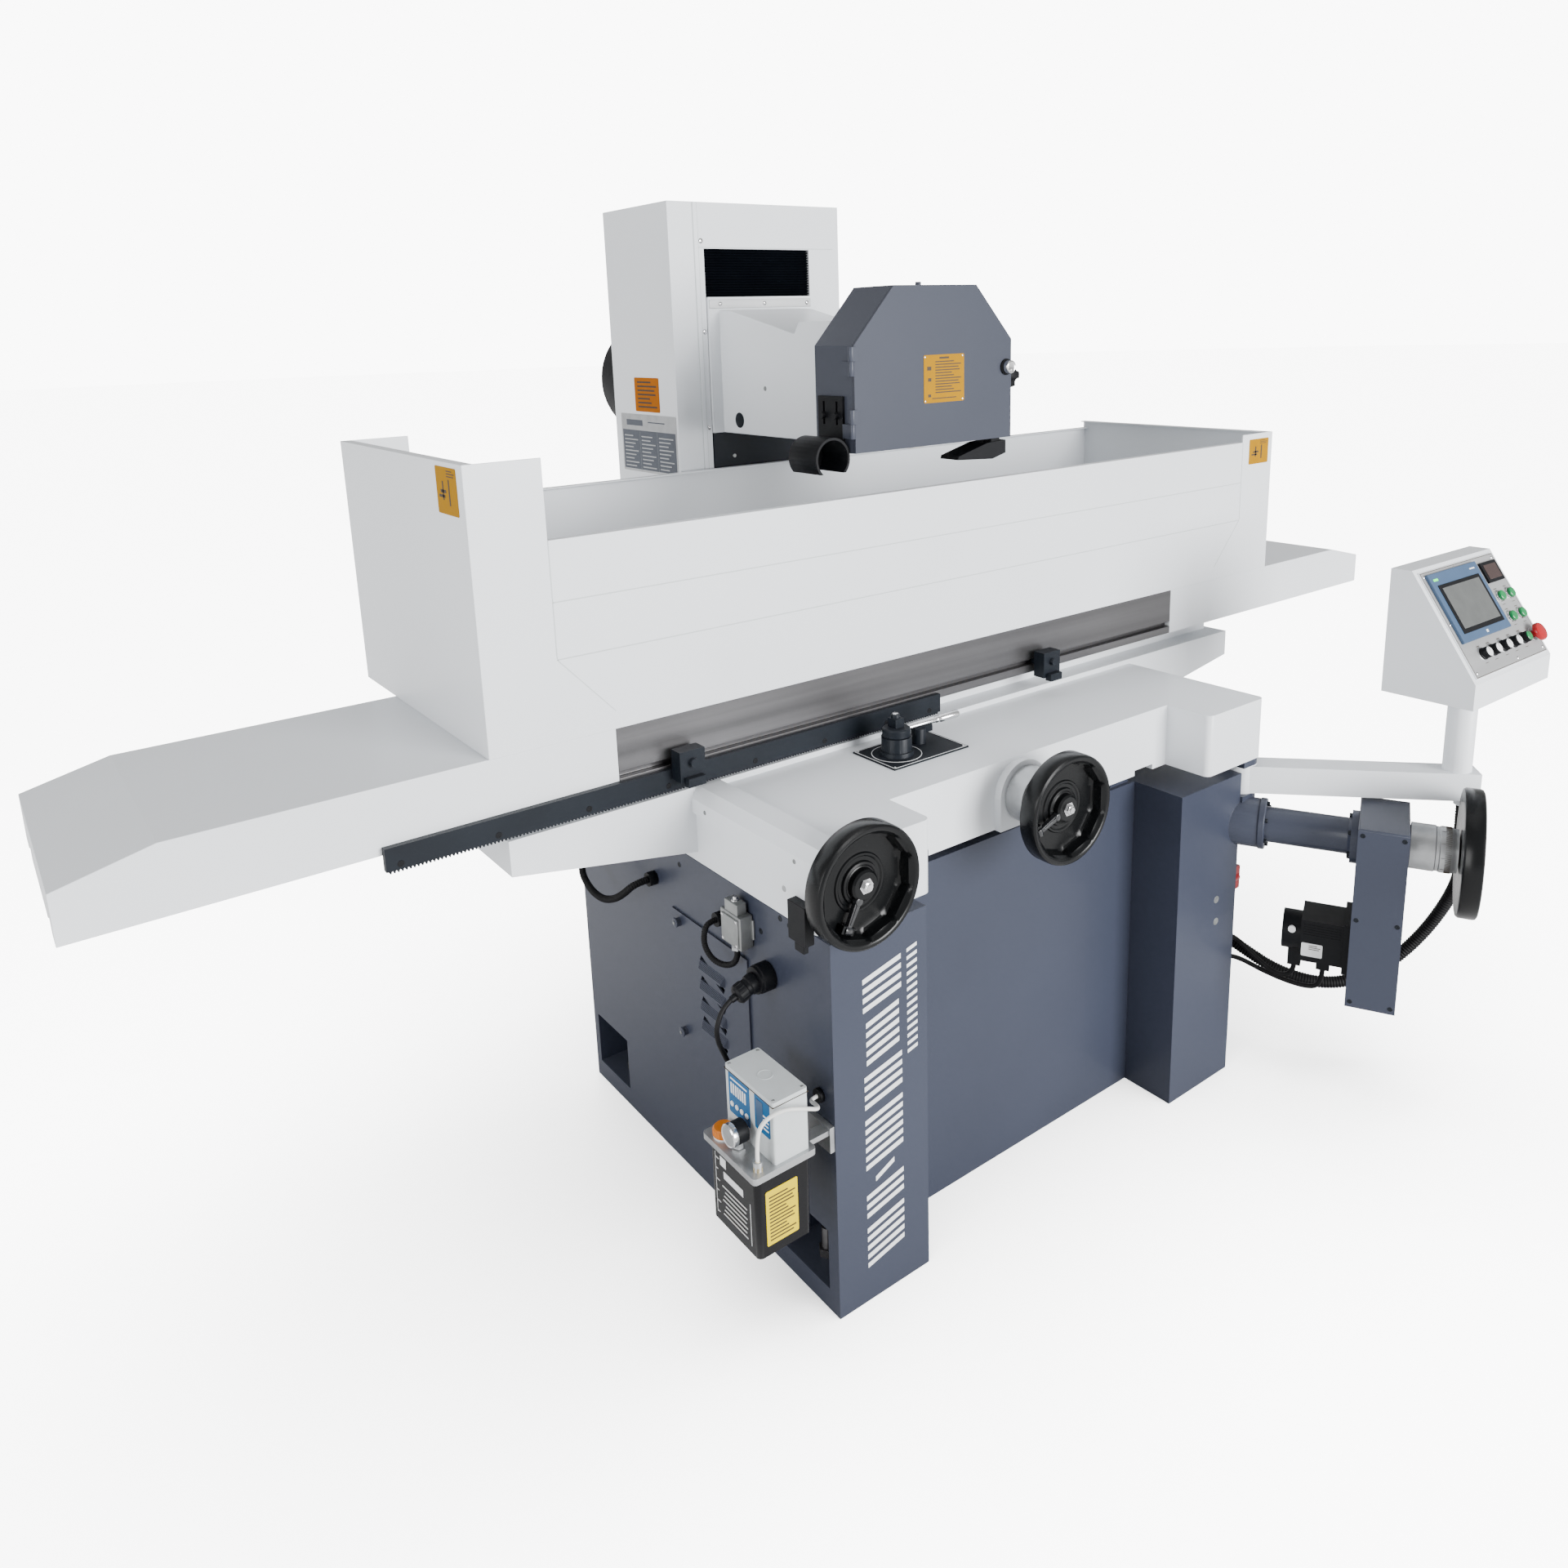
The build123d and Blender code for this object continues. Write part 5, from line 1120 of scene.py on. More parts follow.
@dataclass
class Head:
    """The wheel head with its motor, retaining strip and closing plate."""

    half: float = 120.0
    plate_front: float = 422.0

    def build(self) -> None:
        """Builds every part of the head."""
        dress({"head_casting": WHITE}, 2.5)
        dress({"head_skirt": DARK}, 1.0)
        self._strip()
        self._holes()
        self._motor()

    def _strip(self) -> None:
        """The bright strip that holds the bellows' lower end, with three screws."""
        face = facing_front(0, self.plate_front, 0)
        strip = Shape(face).block((-148, 148), (1808, 1828), (-1, 2))
        strip.piece("bellows_strip", "head", SATIN, 0.6)
        Screws("strip_screws_head", "head", facing_front(0, self.plate_front - 2, 0),
               [(-118, 1818), (9, 1818), (136, 1818)], 5.0, 2.0, CHROME, False).build()
        Screws("skirt_screws", "head", facing_front(0, 424, 0),
               [(-94, 1460), (119, 1458)], 5.0, 1.6, DIECAST).build()

    def _holes(self) -> None:
        """The tapped hole and the oval plug on the head's left side."""
        side = facing_left(-self.half, 0, 0)
        Screws("head_hole", "head", side, [(-246, 1626)], 6.0, 0.6, DIECAST).build()
        plug = Shape(side).turned([(17, -0.5), (18, 0.6), (16, 1.2), (0, 1.2)], (-355, 1550))
        plug.piece("head_plug", "head", DARK)

    def _motor(self) -> None:
        """The spindle motor's ribbed shell and slotted fan cowl."""
        seat = Seat((0, 518, 1630), (1, 0, 0), (0, 1, 0))
        shell = Shape(seat)
        shell.turned([(60, 0), (97, 0), (97, 254), (146, 255), (153, 258), (156, 264), (156, 452), (152, 464),
                      (142, 471.5), (96, 471.5), (92, 466), (0, 466)], steps=72)
        for k in range(40):
            turn = 2 * pi * k / 40
            place = (100.5 * cos(turn), 100.5 * sin(turn))
            shell.block((place[0] - 4.2, place[0] + 4.2), (place[1] - 1.4, place[1] + 1.4), (6, 256), 9 * k)
        piece = shell.piece("motor_shell", "head", BLACK)
        grille = Shape(seat)
        for k in range(48):
            turn = 2 * pi * k / 48
            place = (155.4 * cos(turn), 155.4 * sin(turn))
            grille.block((place[0] - 0.8, place[0] + 0.8), (place[1] - 4, place[1] + 4), (300, 322),
                         7.5 * k)
        grille.piece("motor_vents", "head", DIECAST)
        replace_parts(piece, "spindle_motor")


@dataclass
class WheelGuard:
    """The wheel guard, its hinged door and what is fixed to them."""

    door: float = -194.0

    def build(self) -> None:
        """Builds every part of the wheel guard."""
        dress({"wheel_guard": GUARD, "guard_door": GUARD}, 1.0)
        dress({"coolant_nozzle": BLACK}, 1.2)
        self._plate()
        self._latch()
        self._spindle()
        self._wheel()

    def _plate(self) -> None:
        """The yellow notice on the door, with its rivets."""
        seat = facing_front(20, self.door, 1650)
        bars = text_bars(12, 0.28, 0.92, 0.18, 0.88) + [(0.38, 0.91, 0.62, 0.95), (0.2, 0.08, 0.8, 0.1)]
        bars += [(0.08, 0.68, 0.18, 0.76), (0.1, 0.45, 0.18, 0.52), (0.1, 0.12, 0.17, 0.18)]
        Label("door_plate", "door", seat, (112, 96), YELLOW, bars, INK).build()
        Screws("door_plate_rivets", "door", Seat(seat.out(0, 0, 0.6), seat.x, seat.z),
               [(-52, -44), (52, -44), (-52, 44), (52, 44)], 2.2, 0.8, CHROME, False).build()

    def _latch(self) -> None:
        """The door's turned latch knob with its black backing ring."""
        seat = facing_front(200, self.door, 1665)
        knob = Shape(seat)
        knob.turned([(8, -5), (8, 5.3), (13.2, 5.5), (14, 6.5), (14, 15), (13, 17), (11, 18), (9.5, 17.4),
                     (0, 17.2)])
        knob.block((-3, 3), (-9, -4), (17, 18.6))
        piece = knob.piece("latch_knob", "latch", CHROME, 0.4)
        back = Shape(seat).turned([(17, 0.2), (17, 3), (15, 5), (8, 5), (8, 0.2)])
        back.piece("latch_ring", "latch", BLACK)
        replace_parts(piece, "guard_latch")

    def _spindle(self) -> None:
        """The spindle with its two flanges and the end that takes the nut."""
        spindle = Shape(facing_front(0, -110, 1630))
        profile = [(0, -788), (29.6, -788), (29.6, -32), (51.4, -32), (52, -31.4), (52, -20), (19, -20),
                   (19, 20), (52, 20), (52, 29.4), (51.4, 30), (19, 30), (19, 41.2), (18.2, 42), (0, 42)]
        spindle.turned(profile, steps=96)
        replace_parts(spindle.piece("wheel_spindle", "spindle_body", STEEL), "spindle")

    def _wheel(self) -> None:
        """The grinding wheel and the paper washers on its sides."""
        seat = facing_front(0, -110, 1630)
        wheel = Shape(seat)
        wheel.turned([(19.2, -20), (124.5, -20), (126, -18.5), (126, 18.5), (124.5, 20), (19.2, 20),
                      (19.2, -20)], steps=96)
        piece = wheel.piece("abrasive_wheel", "spindle_body", STONE)
        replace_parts(piece, "grinding_wheel")
        for side in (-1, 1):
            near, far = side * 20, side * 20.6
            washer = Shape(seat).turned([(54, near), (72, near), (72, far), (54, far)])
            washer.piece(f"blotter_{'front' if side > 0 else 'back'}", "spindle_body", BLUE)


# ---------------------------------------------------------------- handwheels
@dataclass
class Handwheel:
    """A dished handwheel with a scalloped rim, graduated dial and fold-flat handle."""

    name: str
    node: str
    handle_node: str
    body: str
    handle_body: str
    seat: Seat
    radius: float
    standoff: float
    turn: float
    dial: float
    shaft: float
    lobes: int = 12

    def build(self) -> None:
        """Builds the wheel, its dial, nut and handle."""
        self._rim()
        self._hub()
        self._dial()
        self._handle()

    def _rim(self) -> None:
        """The rim, its inside edge scalloped for the fingers, and the dished web."""
        r, base = self.radius, self.standoff
        rim = [(r - 9, 0, 0), (r - 3, 1.5, 0), (r, 6, 0), (r, 33, 0), (r - 1.5, 37.5, 0), (r - 5, 39.8, 0),
               (r - 10, 39.6, 0), (r - 13, 37.5, 0)]
        scallops = [(r - 14.5, 34, 0.6), (r - 17, 31, 2.6), (r - 18, 22, 3.0), (r - 19, 13, 3.0),
                    (r - 23, 9.5, 1.6)]
        web = [(r - 30, 8.6, 0), (58, 8.2, 0), (52, 9, 0), (50, 11.5, 0), (46.5, 11.5, 0), (44, 9.4, 0),
               (38, 9.8, 0)]
        hub = [(36, 14, 0), (32, 15, 0), (30, 13.8, 0), (28, 14.4, 0), (26.5, 24, 0), (23, 27.5, 0),
               (19, 27.5, 0)]
        mesh = Shape(self.seat)
        steps = self.lobes * 12
        rings = []
        for radius, level, wave in rim + scallops + web + hub:
            ring = []
            for i in range(steps):
                turn = 2 * pi * i / steps
                bite = wave * (1 - abs(cos(turn * self.lobes / 2)) ** 0.6 * 2)
                reach = radius + bite
                ring.append(mesh.mesh.verts.new((reach * cos(turn), reach * sin(turn), base + level)))
            rings.append(ring)
        for low, high in zip(rings, rings[1:]):
            for i in range(steps):
                j = (i + 1) % steps
                mesh.mesh.faces.new((low[i], low[j], high[j], high[i]))
        mesh.turned([(19, base + 27.5), (0, base + 27.5)], steps=steps)
        back = [(r - 9, base), (r - 20, base + 1.5), (40, base + 1.5), (28, base), (0, base)]
        mesh.turned(back, steps=steps)
        piece = mesh.piece(self.name, self.body, GLOSS)
        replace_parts(piece, self.node)

    def _hub(self) -> None:
        """The shaft and its bright nut with a washer under it."""
        base = self.standoff
        nut = Shape(self.seat)
        nut.turned([(14, base + 27), (14, base + 29), (9.5, base + 29), (9.5, base + 34), (6.5, base + 35),
                    (6.5, base + 37.5), (0, base + 37.8)], steps=6)
        nut.piece(f"{self.name}_nut", self.body, CHROME)
        shaft = Shape(self.seat).turned([(11.9, -self.shaft), (11.9, base + 1), (0, base + 1)])
        shaft.piece(f"{self.name}_shaft", self.body, STEEL)

    def _dial(self) -> None:
        """The graduated dial behind the wheel, on the wheels that have one."""
        if not self.dial:
            return
        r, base = self.dial, self.standoff
        dial = Shape(self.seat)
        dial.turned([(r - 6, 2), (r, 2.5), (r, base * 0.52), (r - 2.2, base * 0.54), (r - 2.2, base * 0.6),
                     (r - 0.6, base * 0.62), (r - 0.6, base * 0.86), (r - 3, base * 0.9), (r - 3, base - 2),
                     (0, base - 2)], steps=72)
        dial.piece(f"{self.name}_dial", self.body, SATIN)
        marks = Shape(self.seat)
        for k in range(100):
            turn = 2 * pi * k / 100
            long = 0.2 if k % 10 else 0.34
            place = ((r - 0.5) * cos(turn), (r - 0.5) * sin(turn))
            marks.block((place[0] - 0.5, place[0] + 0.5), (place[1] - 0.2, place[1] + 0.2),
                        (base * (0.84 - long * 0.6), base * 0.84), 3.6 * k)
        marks.piece(f"{self.name}_marks", self.body, INK)

    def _handle(self) -> None:
        """The flat folding bar with its pivot ring and finger pad."""
        pivot = self.radius - 30
        level = self.standoff + 20
        turn = radians(self.turn)
        spin = self.seat.matrix().to_3x3()
        along = tuple((spin @ Vector((cos(turn), sin(turn), 0))).normalized())
        across = tuple((spin @ Vector((-sin(turn), cos(turn), 0))).normalized())
        seat = Seat(self.seat.out(0, 0, level), along, self.seat.z)
        bar = Shape(seat)
        outline = [(26, -6.5), (pivot - 6, -4.5), (pivot - 6, 4.5), (26, 6.5), (21.5, 4), (21.5, -4)]
        bar.prism(outline, -3.5, 5)
        bar.prism([(34, -2.2), (pivot - 10, -1.6), (pivot - 10, 1.6), (34, 2.2)], 4.5, 6.2)
        bar.rod((28, 0), 7.5, -5, 7, 1.5)
        # bar and eye in the lightened lacquer: a painted highlight on the handle
        piece = bar.piece(f"{self.name}_handle", self.handle_body, HANDLE_WITH_PAINTED_HIGHLIGHT, 0.8)
        hinge = Seat(seat.out(pivot, 0), seat.z, across)
        eye = Shape(hinge)
        eye.turned([(4.1, -7), (7.6, -7), (8, -6), (8, 6), (7.6, 7), (4.1, 7), (4.1, -7)])
        eye.piece(f"{self.name}_eye", self.handle_body, HANDLE_WITH_PAINTED_HIGHLIGHT)
        pin = Shape(hinge)
        pin.turned([(0, -11), (3.9, -11), (3.9, 11), (0, 11)])
        pin.block((-11, 5), (-7, 7), (-13.5, -7.6)).block((-11, 5), (-7, 7), (7.6, 13.5))
        pin.piece(f"{self.name}_pin", self.body, GLOSS, 0.8)
        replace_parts(piece, self.handle_node)


# ---------------------------------------------------------------- elevating drive
@dataclass
class ElevatingDrive:
    """The oblique tube, belt housing and servo motor, with both feed screws and the main switch."""

    near: float = 205.0
    far: float = 305.0

    def build(self) -> None:
        """Builds every part of the drive."""
        dress({"elevating_gearbox": SLATE}, 2.0)
        dress({"servo_motor": BLACK}, 1.5)
        dress({"elevating_screw": STEEL, "cross_screw": STEEL})
        dress({"main_switch": RED}, 2.0)
        self._housing()
        self._flanges()
        self._servo()
        base = Shape(Seat((590, -535, 480), (0, 1, 0), (1, 0, 0)))
        base.block((-16, 16), (-26, 26), (0.4, 3)).piece("isolator_plate", "isolator", YELLOW, 1.0)

    def _housing(self) -> None:
        """The screws round the belt housing's cover."""
        places = [(s, z) for s in (self.near + 10, self.far - 10) for z in (46, -150, -345)]
        up = DRIVE_SIDE.out(0, 1)[2] - DRIVE_SIDE.origin[2]
        Screws("housing_screws", "base", DRIVE_SIDE, [(s, z * up) for s, z in places], 5.5, 0.8, DARK).build()

    def _flanges(self) -> None:
        """The bolted flanges at both ends of the tube."""
        ring = Shape(DRIVE)
        ring.turned([(56, 0), (58, 2), (58, 13), (56, 15), (41, 15), (41, 0)], steps=64)
        ring.turned([(58, self.near - 14), (58, self.near), (39, self.near), (39, self.near - 14)], steps=64)
        ring.turned([(41, self.near - 20), (46, self.near - 14)], steps=64)
        ring.piece("tube_flanges", "base", SLATE, 0.8)
        turns = [radians(30 + 60 * k) for k in range(6)]
        places = [(49 * cos(turn), 49 * sin(turn)) for turn in turns]
        Screws("root_bolts", "base", Seat(DRIVE.out(0, 0, 15), DRIVE.x, DRIVE.z), places, 5, 6, DARK).build()
        back = Seat(DRIVE.out(0, 0, self.near - 14), tuple(-Vector(DRIVE.x)), tuple(-Vector(DRIVE.z)))
        Screws("housing_bolts", "base", back, places, 5, 6, DARK).build()

    def _servo(self) -> None:
        """The servo's cooling ribs, rating plate and round cap."""
        ribs = Shape(DRIVE)
        for k in range(5):
            ribs.block((-50.8, 50.8), (-232 + 6 * k, -229 + 6 * k), (110, 188))
        ribs.piece("servo_ribs", "base", BLACK, 0.5)
        side = Seat(DRIVE.out(-50.6, -266, 130), DRIVE.z, tuple(-Vector(DRIVE.x)))
        Label("servo_plate", "base", side, (44, 32), LIGHT, text_bars(3, 0.35, 0.9, 0.5, 0.9)).build()
        spot = Seat(DRIVE.out(-44.5, -226, 86), DRIVE.z, tuple(-Vector(DRIVE.x)))
        Shape(spot).turned([(8, -4), (8, 1.5), (0, 1.5)]).piece("servo_lamp_cap", "base", LIGHT)


# ---------------------------------------------------------------- console
@dataclass
class Console:
    """The control console: panel, display, meter, buttons, knobs and stop button."""

    keys: tuple[tuple[float, float], ...] = ((95, 23), (140, 23), (95, -26), (140, -26))
    knobs: tuple[tuple[float, float], ...] = ((-95, -78), (-52, -78), (-4, -78), (42, -78))
    lit: tuple[float, float] = (90.0, -78.0)
    stop: tuple[float, float] = (140.0, -78.0)

    def build(self) -> None:
        """Builds every part of the console."""
        dress({"console": WHITE, "console_arm": WHITE}, 3.0)
        self._panel()
        self._display()
        self._meter()
        self._buttons()
        self._selectors()
        self._stop()

    def _panel(self) -> None:
        """The anodised panel with its border line, corner screws and short print."""
        plate = Shape(PANEL_FACE)
        plate.prism([(-162, -120), (162, -120), (162, 120), (-162, 120)], 3.0, 3.6)
        plate.piece("panel_plate", "panel", PANEL)
        line = Shape(PANEL_FACE)
        for x, y in (((-161, 161), (-119, -118)), ((-161, 161), (118, 119)),
                     ((-161, -160), (-119, 119)), ((160, 161), (-119, 119))):
            line.block(x, y, (3.4, 3.9))
        for x, y in [*self.keys, *self.knobs, self.lit]:
            line.block((x - 9, x + 4), (y + 17.5, y + 18.8), (3.4, 3.8))
            line.block((x - 6, x + 7), (y - 20, y - 19), (3.4, 3.8))
        line.piece("panel_print", "panel", INK)
        raised = Seat(PANEL_FACE.out(0, 0, 3.5), PANEL_FACE.x, PANEL_FACE.z)
        places = [(-152, 110), (152, 110), (-152, -110), (152, -110), (-152, 0), (30, -112), (-20, 113)]
        Screws("panel_screws", "panel", raised, places, 3.2, 1.4, CHROME, False).build()

    def _display(self) -> None:
        """The operator display: blue-grey bezel, dark surround, grey glass and a green lamp."""
        bezel = Shape(PANEL_FACE).prism([(-150, -46), (62, -46), (62, 112), (-150, 112)], 3.2, 11)
        bezel.piece("display_bezel", "panel", BEZEL, 2.0)
        surround = Shape(PANEL_FACE).block((-134, 46), (-28, 84), (10.4, 12.4))
        surround.piece("display_surround", "panel", BLACK, 1.0)
        glass = Shape(PANEL_FACE).block((-124, 36), (-18, 76), (12, 13.2))
        glass.piece("display_glass", "panel", SCREEN, 0.4)
        lamp = Shape(PANEL_FACE).block((-138, -120), (94, 99), (10.6, 11.4))
        lamp.piece("display_lamp", "panel", LAMP)
        marks = Shape(PANEL_FACE)
        for x, y in (((22, 44), (97, 100)), ((-46, -38), (-40, -34))):
            marks.block(x, y, (10.6, 11.3))
        marks.piece("display_marks", "panel", LIGHT)

    def _meter(self) -> None:
        """The small panel meter with its dark frame and tinted window."""
        edge = Shape(PANEL_FACE).block((78, 150), (56, 104), (3.2, 9))
        edge.piece("meter_frame", "panel", BLACK, 1.2)
        window = Shape(PANEL_FACE).block((86, 142), (63, 97), (8.6, 9.8))
        window.piece("meter_window", "panel", METER, 0.4)

    def _buttons(self) -> None:
        """The four green push buttons, each in a bright collar."""
        for index, place in enumerate(self.keys, 1):
            collar = Shape(PANEL_FACE)
            collar.turned([(14, 3.2), (14, 6), (13, 7.5), (11.6, 7.5), (11.6, 3.2)], place)
            collar.piece(f"key_collar_{index}", "panel", CHROME)
            cap = Shape(PANEL_FACE)
            cap.turned([(7.9, -14), (7.9, 7.8), (11, 8), (11, 12.4), (9.6, 13.6), (7, 14), (0, 13.6)], place)
            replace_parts(cap.piece(f"key_cap_{index}", f"button_{index}", GREEN), f"push_button_{index}")

    def _selectors(self) -> None:
        """The black selector knobs with white caps, and the green-capped one."""
        spots = [(p, f"knob_{i}", f"selector_knob_{i}", LIGHT) for i, p in enumerate(self.knobs, 1)]
        spots.append((self.lit, "lit_knob", "lit_selector", GREEN))
        for place, body, node, cap_finish in spots:
            collar = Shape(PANEL_FACE)
            collar.turned([(15.2, 3.2), (15.2, 4.4), (14.3, 5.2), (8, 5.2), (8, 3.2)], place)
            collar.piece(f"{body}_collar", "panel", SATIN)
            knob = Shape(PANEL_FACE)
            knob.turned([(7.9, -14), (7.9, 5.6), (12.6, 5.8), (13, 8), (11.4, 9), (11, 18.6), (10, 20),
                         (0, 20)], place)
            for k in range(16):
                turn = 2 * pi * k / 16
                knob.rod((place[0] + 11 * cos(turn), place[1] + 11 * sin(turn)), 0.9, 9, 18.5, 0.4, 6)
            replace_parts(knob.piece(f"{body}_grip", body, BLACK), node)
            cap = Shape(PANEL_FACE).turned([(10, 19.9), (10, 20.8), (9, 21.6), (0, 21.8)], place)
            cap.piece(f"{body}_cap", body, cap_finish)
            mark = Shape(PANEL_FACE)
            mark.block((place[0] - 0.8, place[0] + 0.8), (place[1] + 1, place[1] + 9), (21.4, 22))
            mark.piece(f"{body}_mark", body, INK)

    def _stop(self) -> None:
        """The red mushroom stop button on its bright collar."""
        place = self.stop
        collar = Shape(PANEL_FACE).turned([(16, 3.2), (16, 4.8), (15, 5.6), (8.4, 5.6), (8.4, 3.2)], place)
        collar.piece("stop_collar", "panel", SATIN)
        cap = Shape(PANEL_FACE)
        cap.turned([(7.9, -14), (7.9, 12), (13, 12.4), (16, 14), (20, 17), (20, 22.5), (18, 25.4), (12, 26.8),
                    (0, 27)], place)
        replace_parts(cap.piece("stop_cap", "stop_button", RED), "emergency_stop")


# ---------------------------------------------------------------- cables and hoses
def make_leads() -> list[Lead]:
    """The machine's cables, pipes and hoses.

    Returns:
        Every lead, ready to build.
    """
    nose = Vector((-1, 0, -0.35)).normalized()
    plug = Vector((-622, -372, 612)) + nose * 46
    reach = hypot(312, -338) + 20
    turn = Vector((312, -338)).normalized()
    end = (628 + reach * turn.x, -528 + reach * turn.y)
    ends = [DRIVE.out(0, -330, 65 + at) for at in (28, 89)]
    oil = [(-752, -556, 413), (-752, -556, 450), (-746, -562, 486), (-716, -580, 508), (-680, -592, 500),
           (-642, -584, 476), (-622, -548, 456), (-616, -519, 445), (-598, -519, 445)]
    pump = [tuple(plug), tuple(plug + nose * 26), (-712, -378, 556), (-706, -372, 524), (-692, -362, 494),
            (-682, -366, 466), (-682, -390, 452), (-682, -420, 452)]
    switch = [(-607, -295, 636), (-607, -295, 612), (-618, -276, 596), (-632, -248, 600), (-640, -230, 626),
              (-636, -226, 654), (-626, -226, 668), (-610, -226, 668)]
    rear = [(-608, 271, 640), (-640, 271, 640), (-656, 258, 604), (-656, 218, 576), (-654, 164, 572),
            (-652, 112, 592), (-652, 66, 622), (-640, 40, 650), (-608, 40, 650)]
    hose = [(612, -440, 300), (674, -440, 300), (714, -500, 250), (750, -590, 204), (812, -684, 190),
            (890, -752, 226), (946, -806, 304), (978, -850, 400), (982, -882, 502), (*end, 600), (*end, 678)]
    leads = [
        Lead("oil_line", "oil_pipe", oil, 7, 286, PVC, stiffness="stiff"),
        Lead("pump_lead", "lubricator_cable", pump, 9, 215, RUBBER),
        Lead("switch_conduit", "conduits", switch, 12, 171, RUBBER, Surface.RIBBED, pitch=4.0),
        Lead("rear_conduit", "conduits", rear, 16, 348, RUBBER, Surface.RIBBED, pitch=4.6),
        Lead("arm_hose", "console_hose", hose, 30, 973, RUBBER, Surface.RIBBED, "stiff", 6.4,
             ("base", "arm")),
    ]
    for index, (level, tip, sag, length) in enumerate(zip((326, 274), ends, (36, 52), (214, 274)), 1):
        low = tip[2] - sag
        middle = ((606 + tip[0]) / 2, (-530 + tip[1]) / 2)
        points = [(606, -530, level), (632, -530, level),
                  (middle[0] + 6, middle[1] + 8, (level + low) / 2 - 12),
                  (tip[0] - 12, tip[1] + 34, low - 8), (tip[0], tip[1], low + 6), tip]
        leads.append(Lead(f"servo_lead_{index}", "servo_cables", points, 11, length, RUBBER))
    return leads


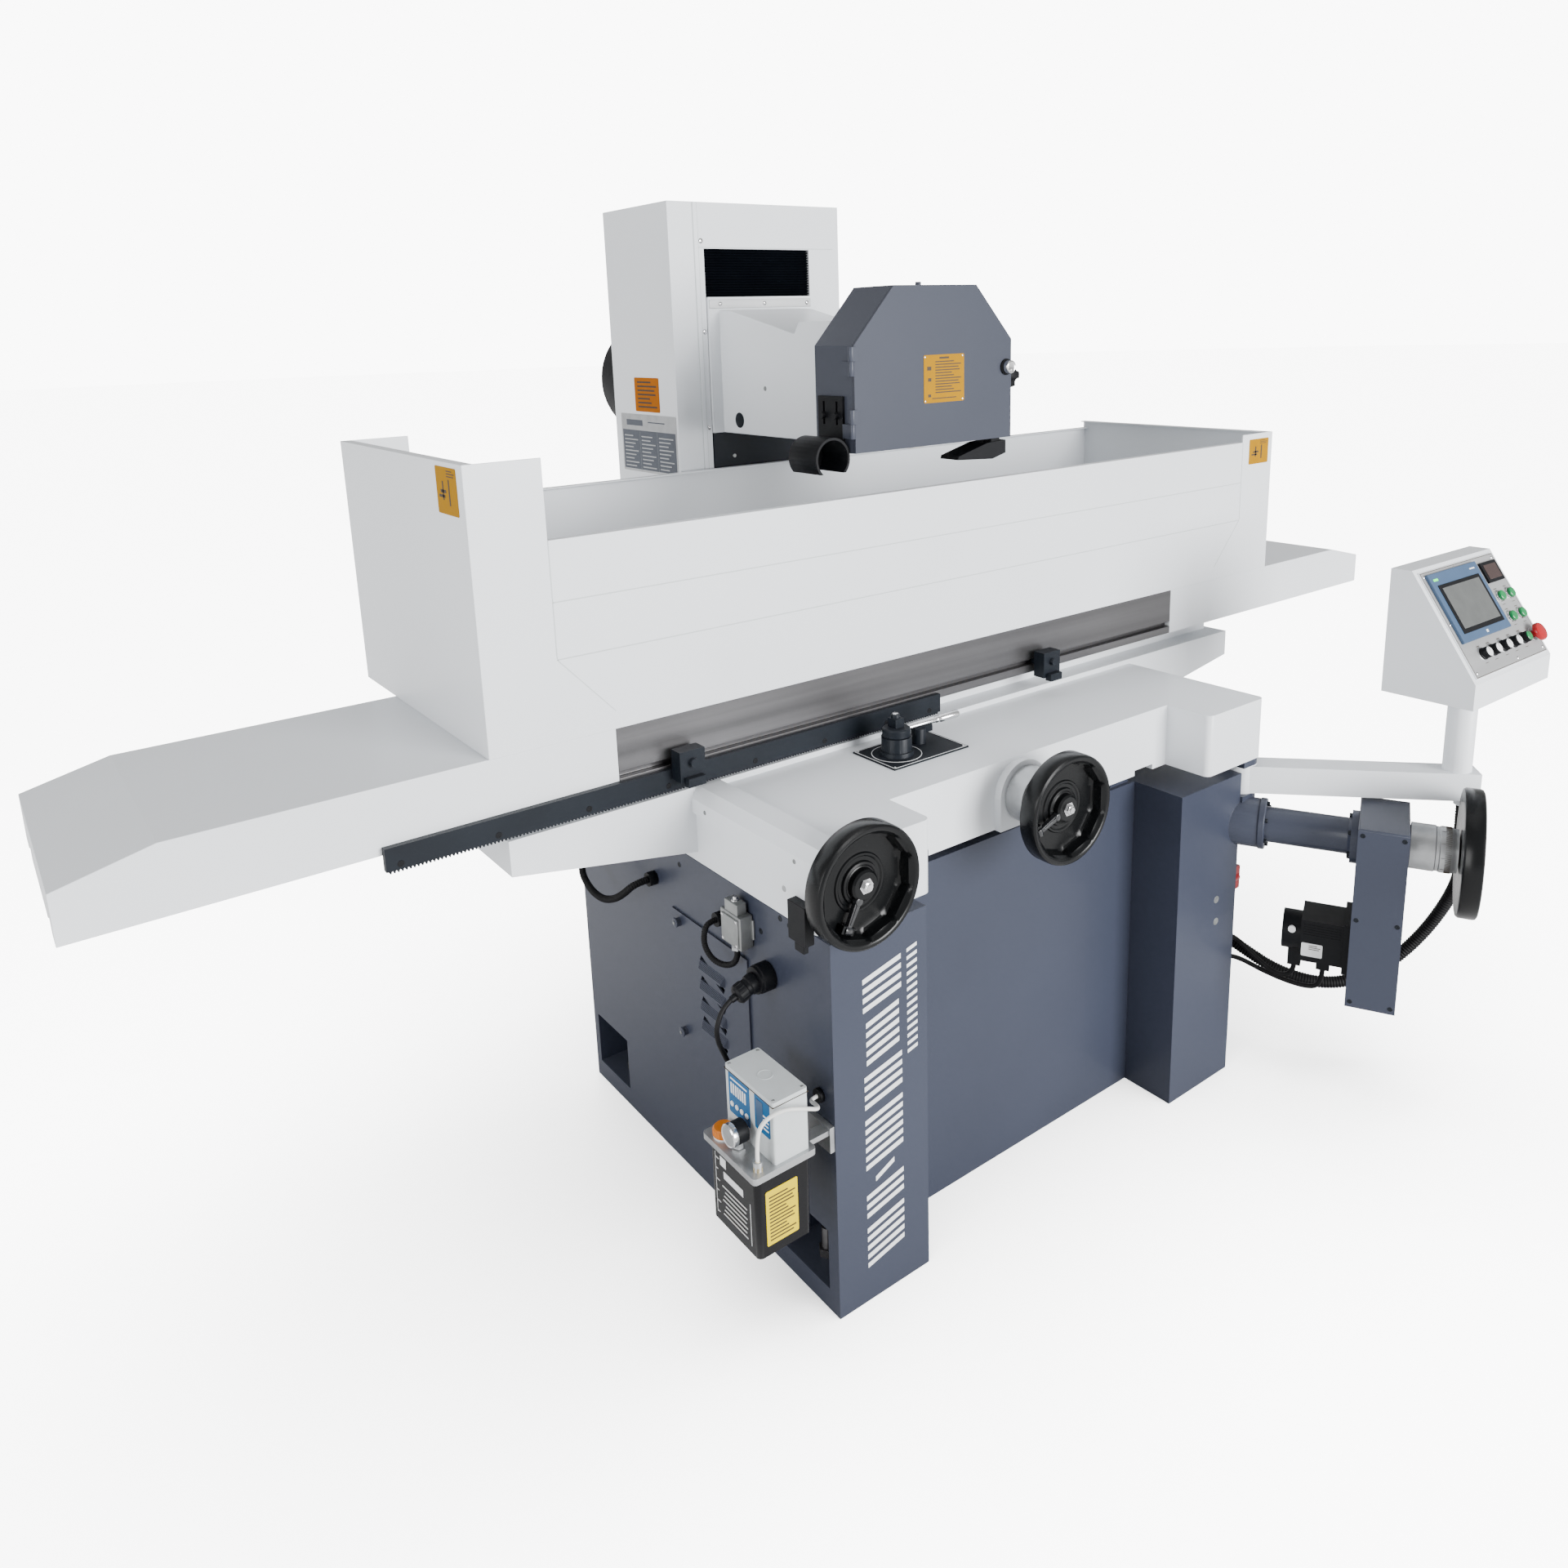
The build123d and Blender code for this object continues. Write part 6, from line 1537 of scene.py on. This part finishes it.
# ---------------------------------------------------------------- studio
@dataclass
class Studio:
    """The floor, the lights and the camera."""

    camera_at: Point = (-1.6777, -1.9951, 1.7659)
    yaw: float = 36.78
    pitch: float = 13.10
    roll: float = -1.721
    lens: float = 27.19
    shift: tuple[float, float] = (-0.0185, -0.1176)
    ambient: float = 0.62
    backdrop: float = 9.0
    bounce: float = 0.14
    wash: float = 30.0
    lamps: tuple[tuple[str, Point, float, float], ...] = (
        ("key", (1.6, -8.0, 2.6), 4.0, 1500), ("fill", (-8.0, -1.0, 2.6), 4.0, 420),
        ("top", (0.5, 0.0, 7.0), 5.0, 60))

    def build(self) -> None:
        """Builds the studio."""
        self._camera()
        self._floor()
        self._lights()

    def _camera(self) -> None:
        """Sets the camera up in front of the machine's left corner."""
        yaw, pitch, roll = radians(self.yaw), radians(self.pitch), radians(self.roll)
        ahead = Vector((sin(yaw) * cos(pitch), cos(yaw) * cos(pitch), -sin(pitch)))
        level = Vector((cos(yaw), -sin(yaw), 0))
        upright = level.cross(ahead)
        right = level * cos(roll) + upright * sin(roll)
        up = upright * cos(roll) - level * sin(roll)
        data = bpy.data.cameras.new("camera")
        data.sensor_width = 36
        data.lens = self.lens
        data.shift_x, data.shift_y = self.shift
        data.clip_end = 200
        camera = bpy.data.objects.new("camera", data)
        turn = Matrix((right, up, -ahead)).transposed().to_4x4()
        camera.matrix_world = Matrix.Translation(Vector(self.camera_at)) @ turn
        bpy.context.scene.collection.objects.link(camera)
        bpy.context.scene.camera = camera

    def _floor(self) -> None:
        """Lays a plain pale floor."""
        mesh = bmesh.new()
        bmesh.ops.create_circle(mesh, cap_ends=True, segments=64, radius=60)
        data = bpy.data.meshes.new("floor")
        mesh.to_mesh(data)
        mesh.free()
        material = PALE.material()
        tree = material.node_tree
        shader = tree.nodes["Principled BSDF"]
        seen = tree.nodes.new("ShaderNodeLightPath")
        mix = tree.nodes.new("ShaderNodeMix")
        mix.data_type = "RGBA"
        mix.inputs[6].default_value = (self.bounce, self.bounce, self.bounce, 1)
        tree.links.new(seen.outputs["Is Camera Ray"], mix.inputs[0])
        tree.links.new(shader.inputs["Base Color"].links[0].from_socket, mix.inputs[7])
        tree.links.new(mix.outputs[2], shader.inputs["Base Color"])
        data.materials.append(material)
        floor = bpy.data.objects.new("floor", data)
        floor.location.z = -0.0005
        bpy.context.scene.collection.objects.link(floor)
        lit = bpy.data.collections.new("floor_only")
        lit.objects.link(floor)
        sun = bpy.data.lights.new("floor_wash", "SUN")
        sun.energy = self.wash
        sun.angle = radians(70)
        lamp = bpy.data.objects.new("floor_wash", sun)
        lamp.light_linking.receiver_collection = lit
        bpy.context.scene.collection.objects.link(lamp)

    def _lights(self) -> None:
        """Hangs the soft lights and sets the surrounding light."""
        world = bpy.data.worlds.new("studio")
        world.use_nodes = True
        tree = world.node_tree
        shader = tree.nodes["Background"]
        shader.inputs["Color"].default_value = (1, 1, 1, 1)
        seen = tree.nodes.new("ShaderNodeLightPath")
        level = tree.nodes.new("ShaderNodeMath")
        level.operation = "MULTIPLY_ADD"
        level.inputs[1].default_value = self.backdrop
        level.inputs[2].default_value = self.ambient
        tree.links.new(seen.outputs["Is Camera Ray"], level.inputs[0])
        tree.links.new(level.outputs["Value"], shader.inputs["Strength"])
        bpy.context.scene.world = world
        middle = Vector((0, 0, 1.0))
        for name, place, size, power in self.lamps:
            data = bpy.data.lights.new(name, "AREA")
            data.shape = "SQUARE"
            data.size = size
            data.energy = power
            lamp = bpy.data.objects.new(name, data)
            lamp.location = place
            lamp.rotation_euler = (middle - Vector(place)).to_track_quat("-Z", "Y").to_euler()
            bpy.context.scene.collection.objects.link(lamp)


def make_handwheels() -> list[Handwheel]:
    """The three handwheels.

    Returns:
        The table, cross-feed and elevating handwheels, ready to build.
    """
    front, ahead = (1, 0, 0), (0, -1, 0)
    return [
        Handwheel("table_wheel", "table_handwheel", "table_handle", "table_wheel", "table_grip",
                  Seat((-566, -595, 878), front, ahead), 108, 6, -118, 0, 86, 10),
        Handwheel("cross_wheel", "cross_handwheel", "cross_handle", "cross_wheel", "cross_grip",
                  Seat((-60, -502, 864), front, ahead), 108, 84, 200, 56, 0, 10),
        Handwheel("elevating_wheel", "elevating_handwheel", "elevating_handle", "elevating_wheel",
                  "elevating_grip", DRIVE_FRONT, 138, 96, 60, 50, 66, 14),
    ]


def main() -> None:
    """Builds the studio and every assembly in turn, and reports each."""
    logging.basicConfig(level=logging.INFO, format="%(message)s")
    assemblies = [Studio(), *make_leads(), Base(), OilPump(), Saddle(), Table(), SplashGuard(), Column(),
                  Head(), WheelGuard(), *make_handwheels(), ElevatingDrive(), Console()]
    for assembly in assemblies:
        assembly.build()
        LOG.info("built %s", getattr(assembly, "name", type(assembly).__name__))
    bpy.context.view_layer.update()


if __name__ == "__main__":
    main()
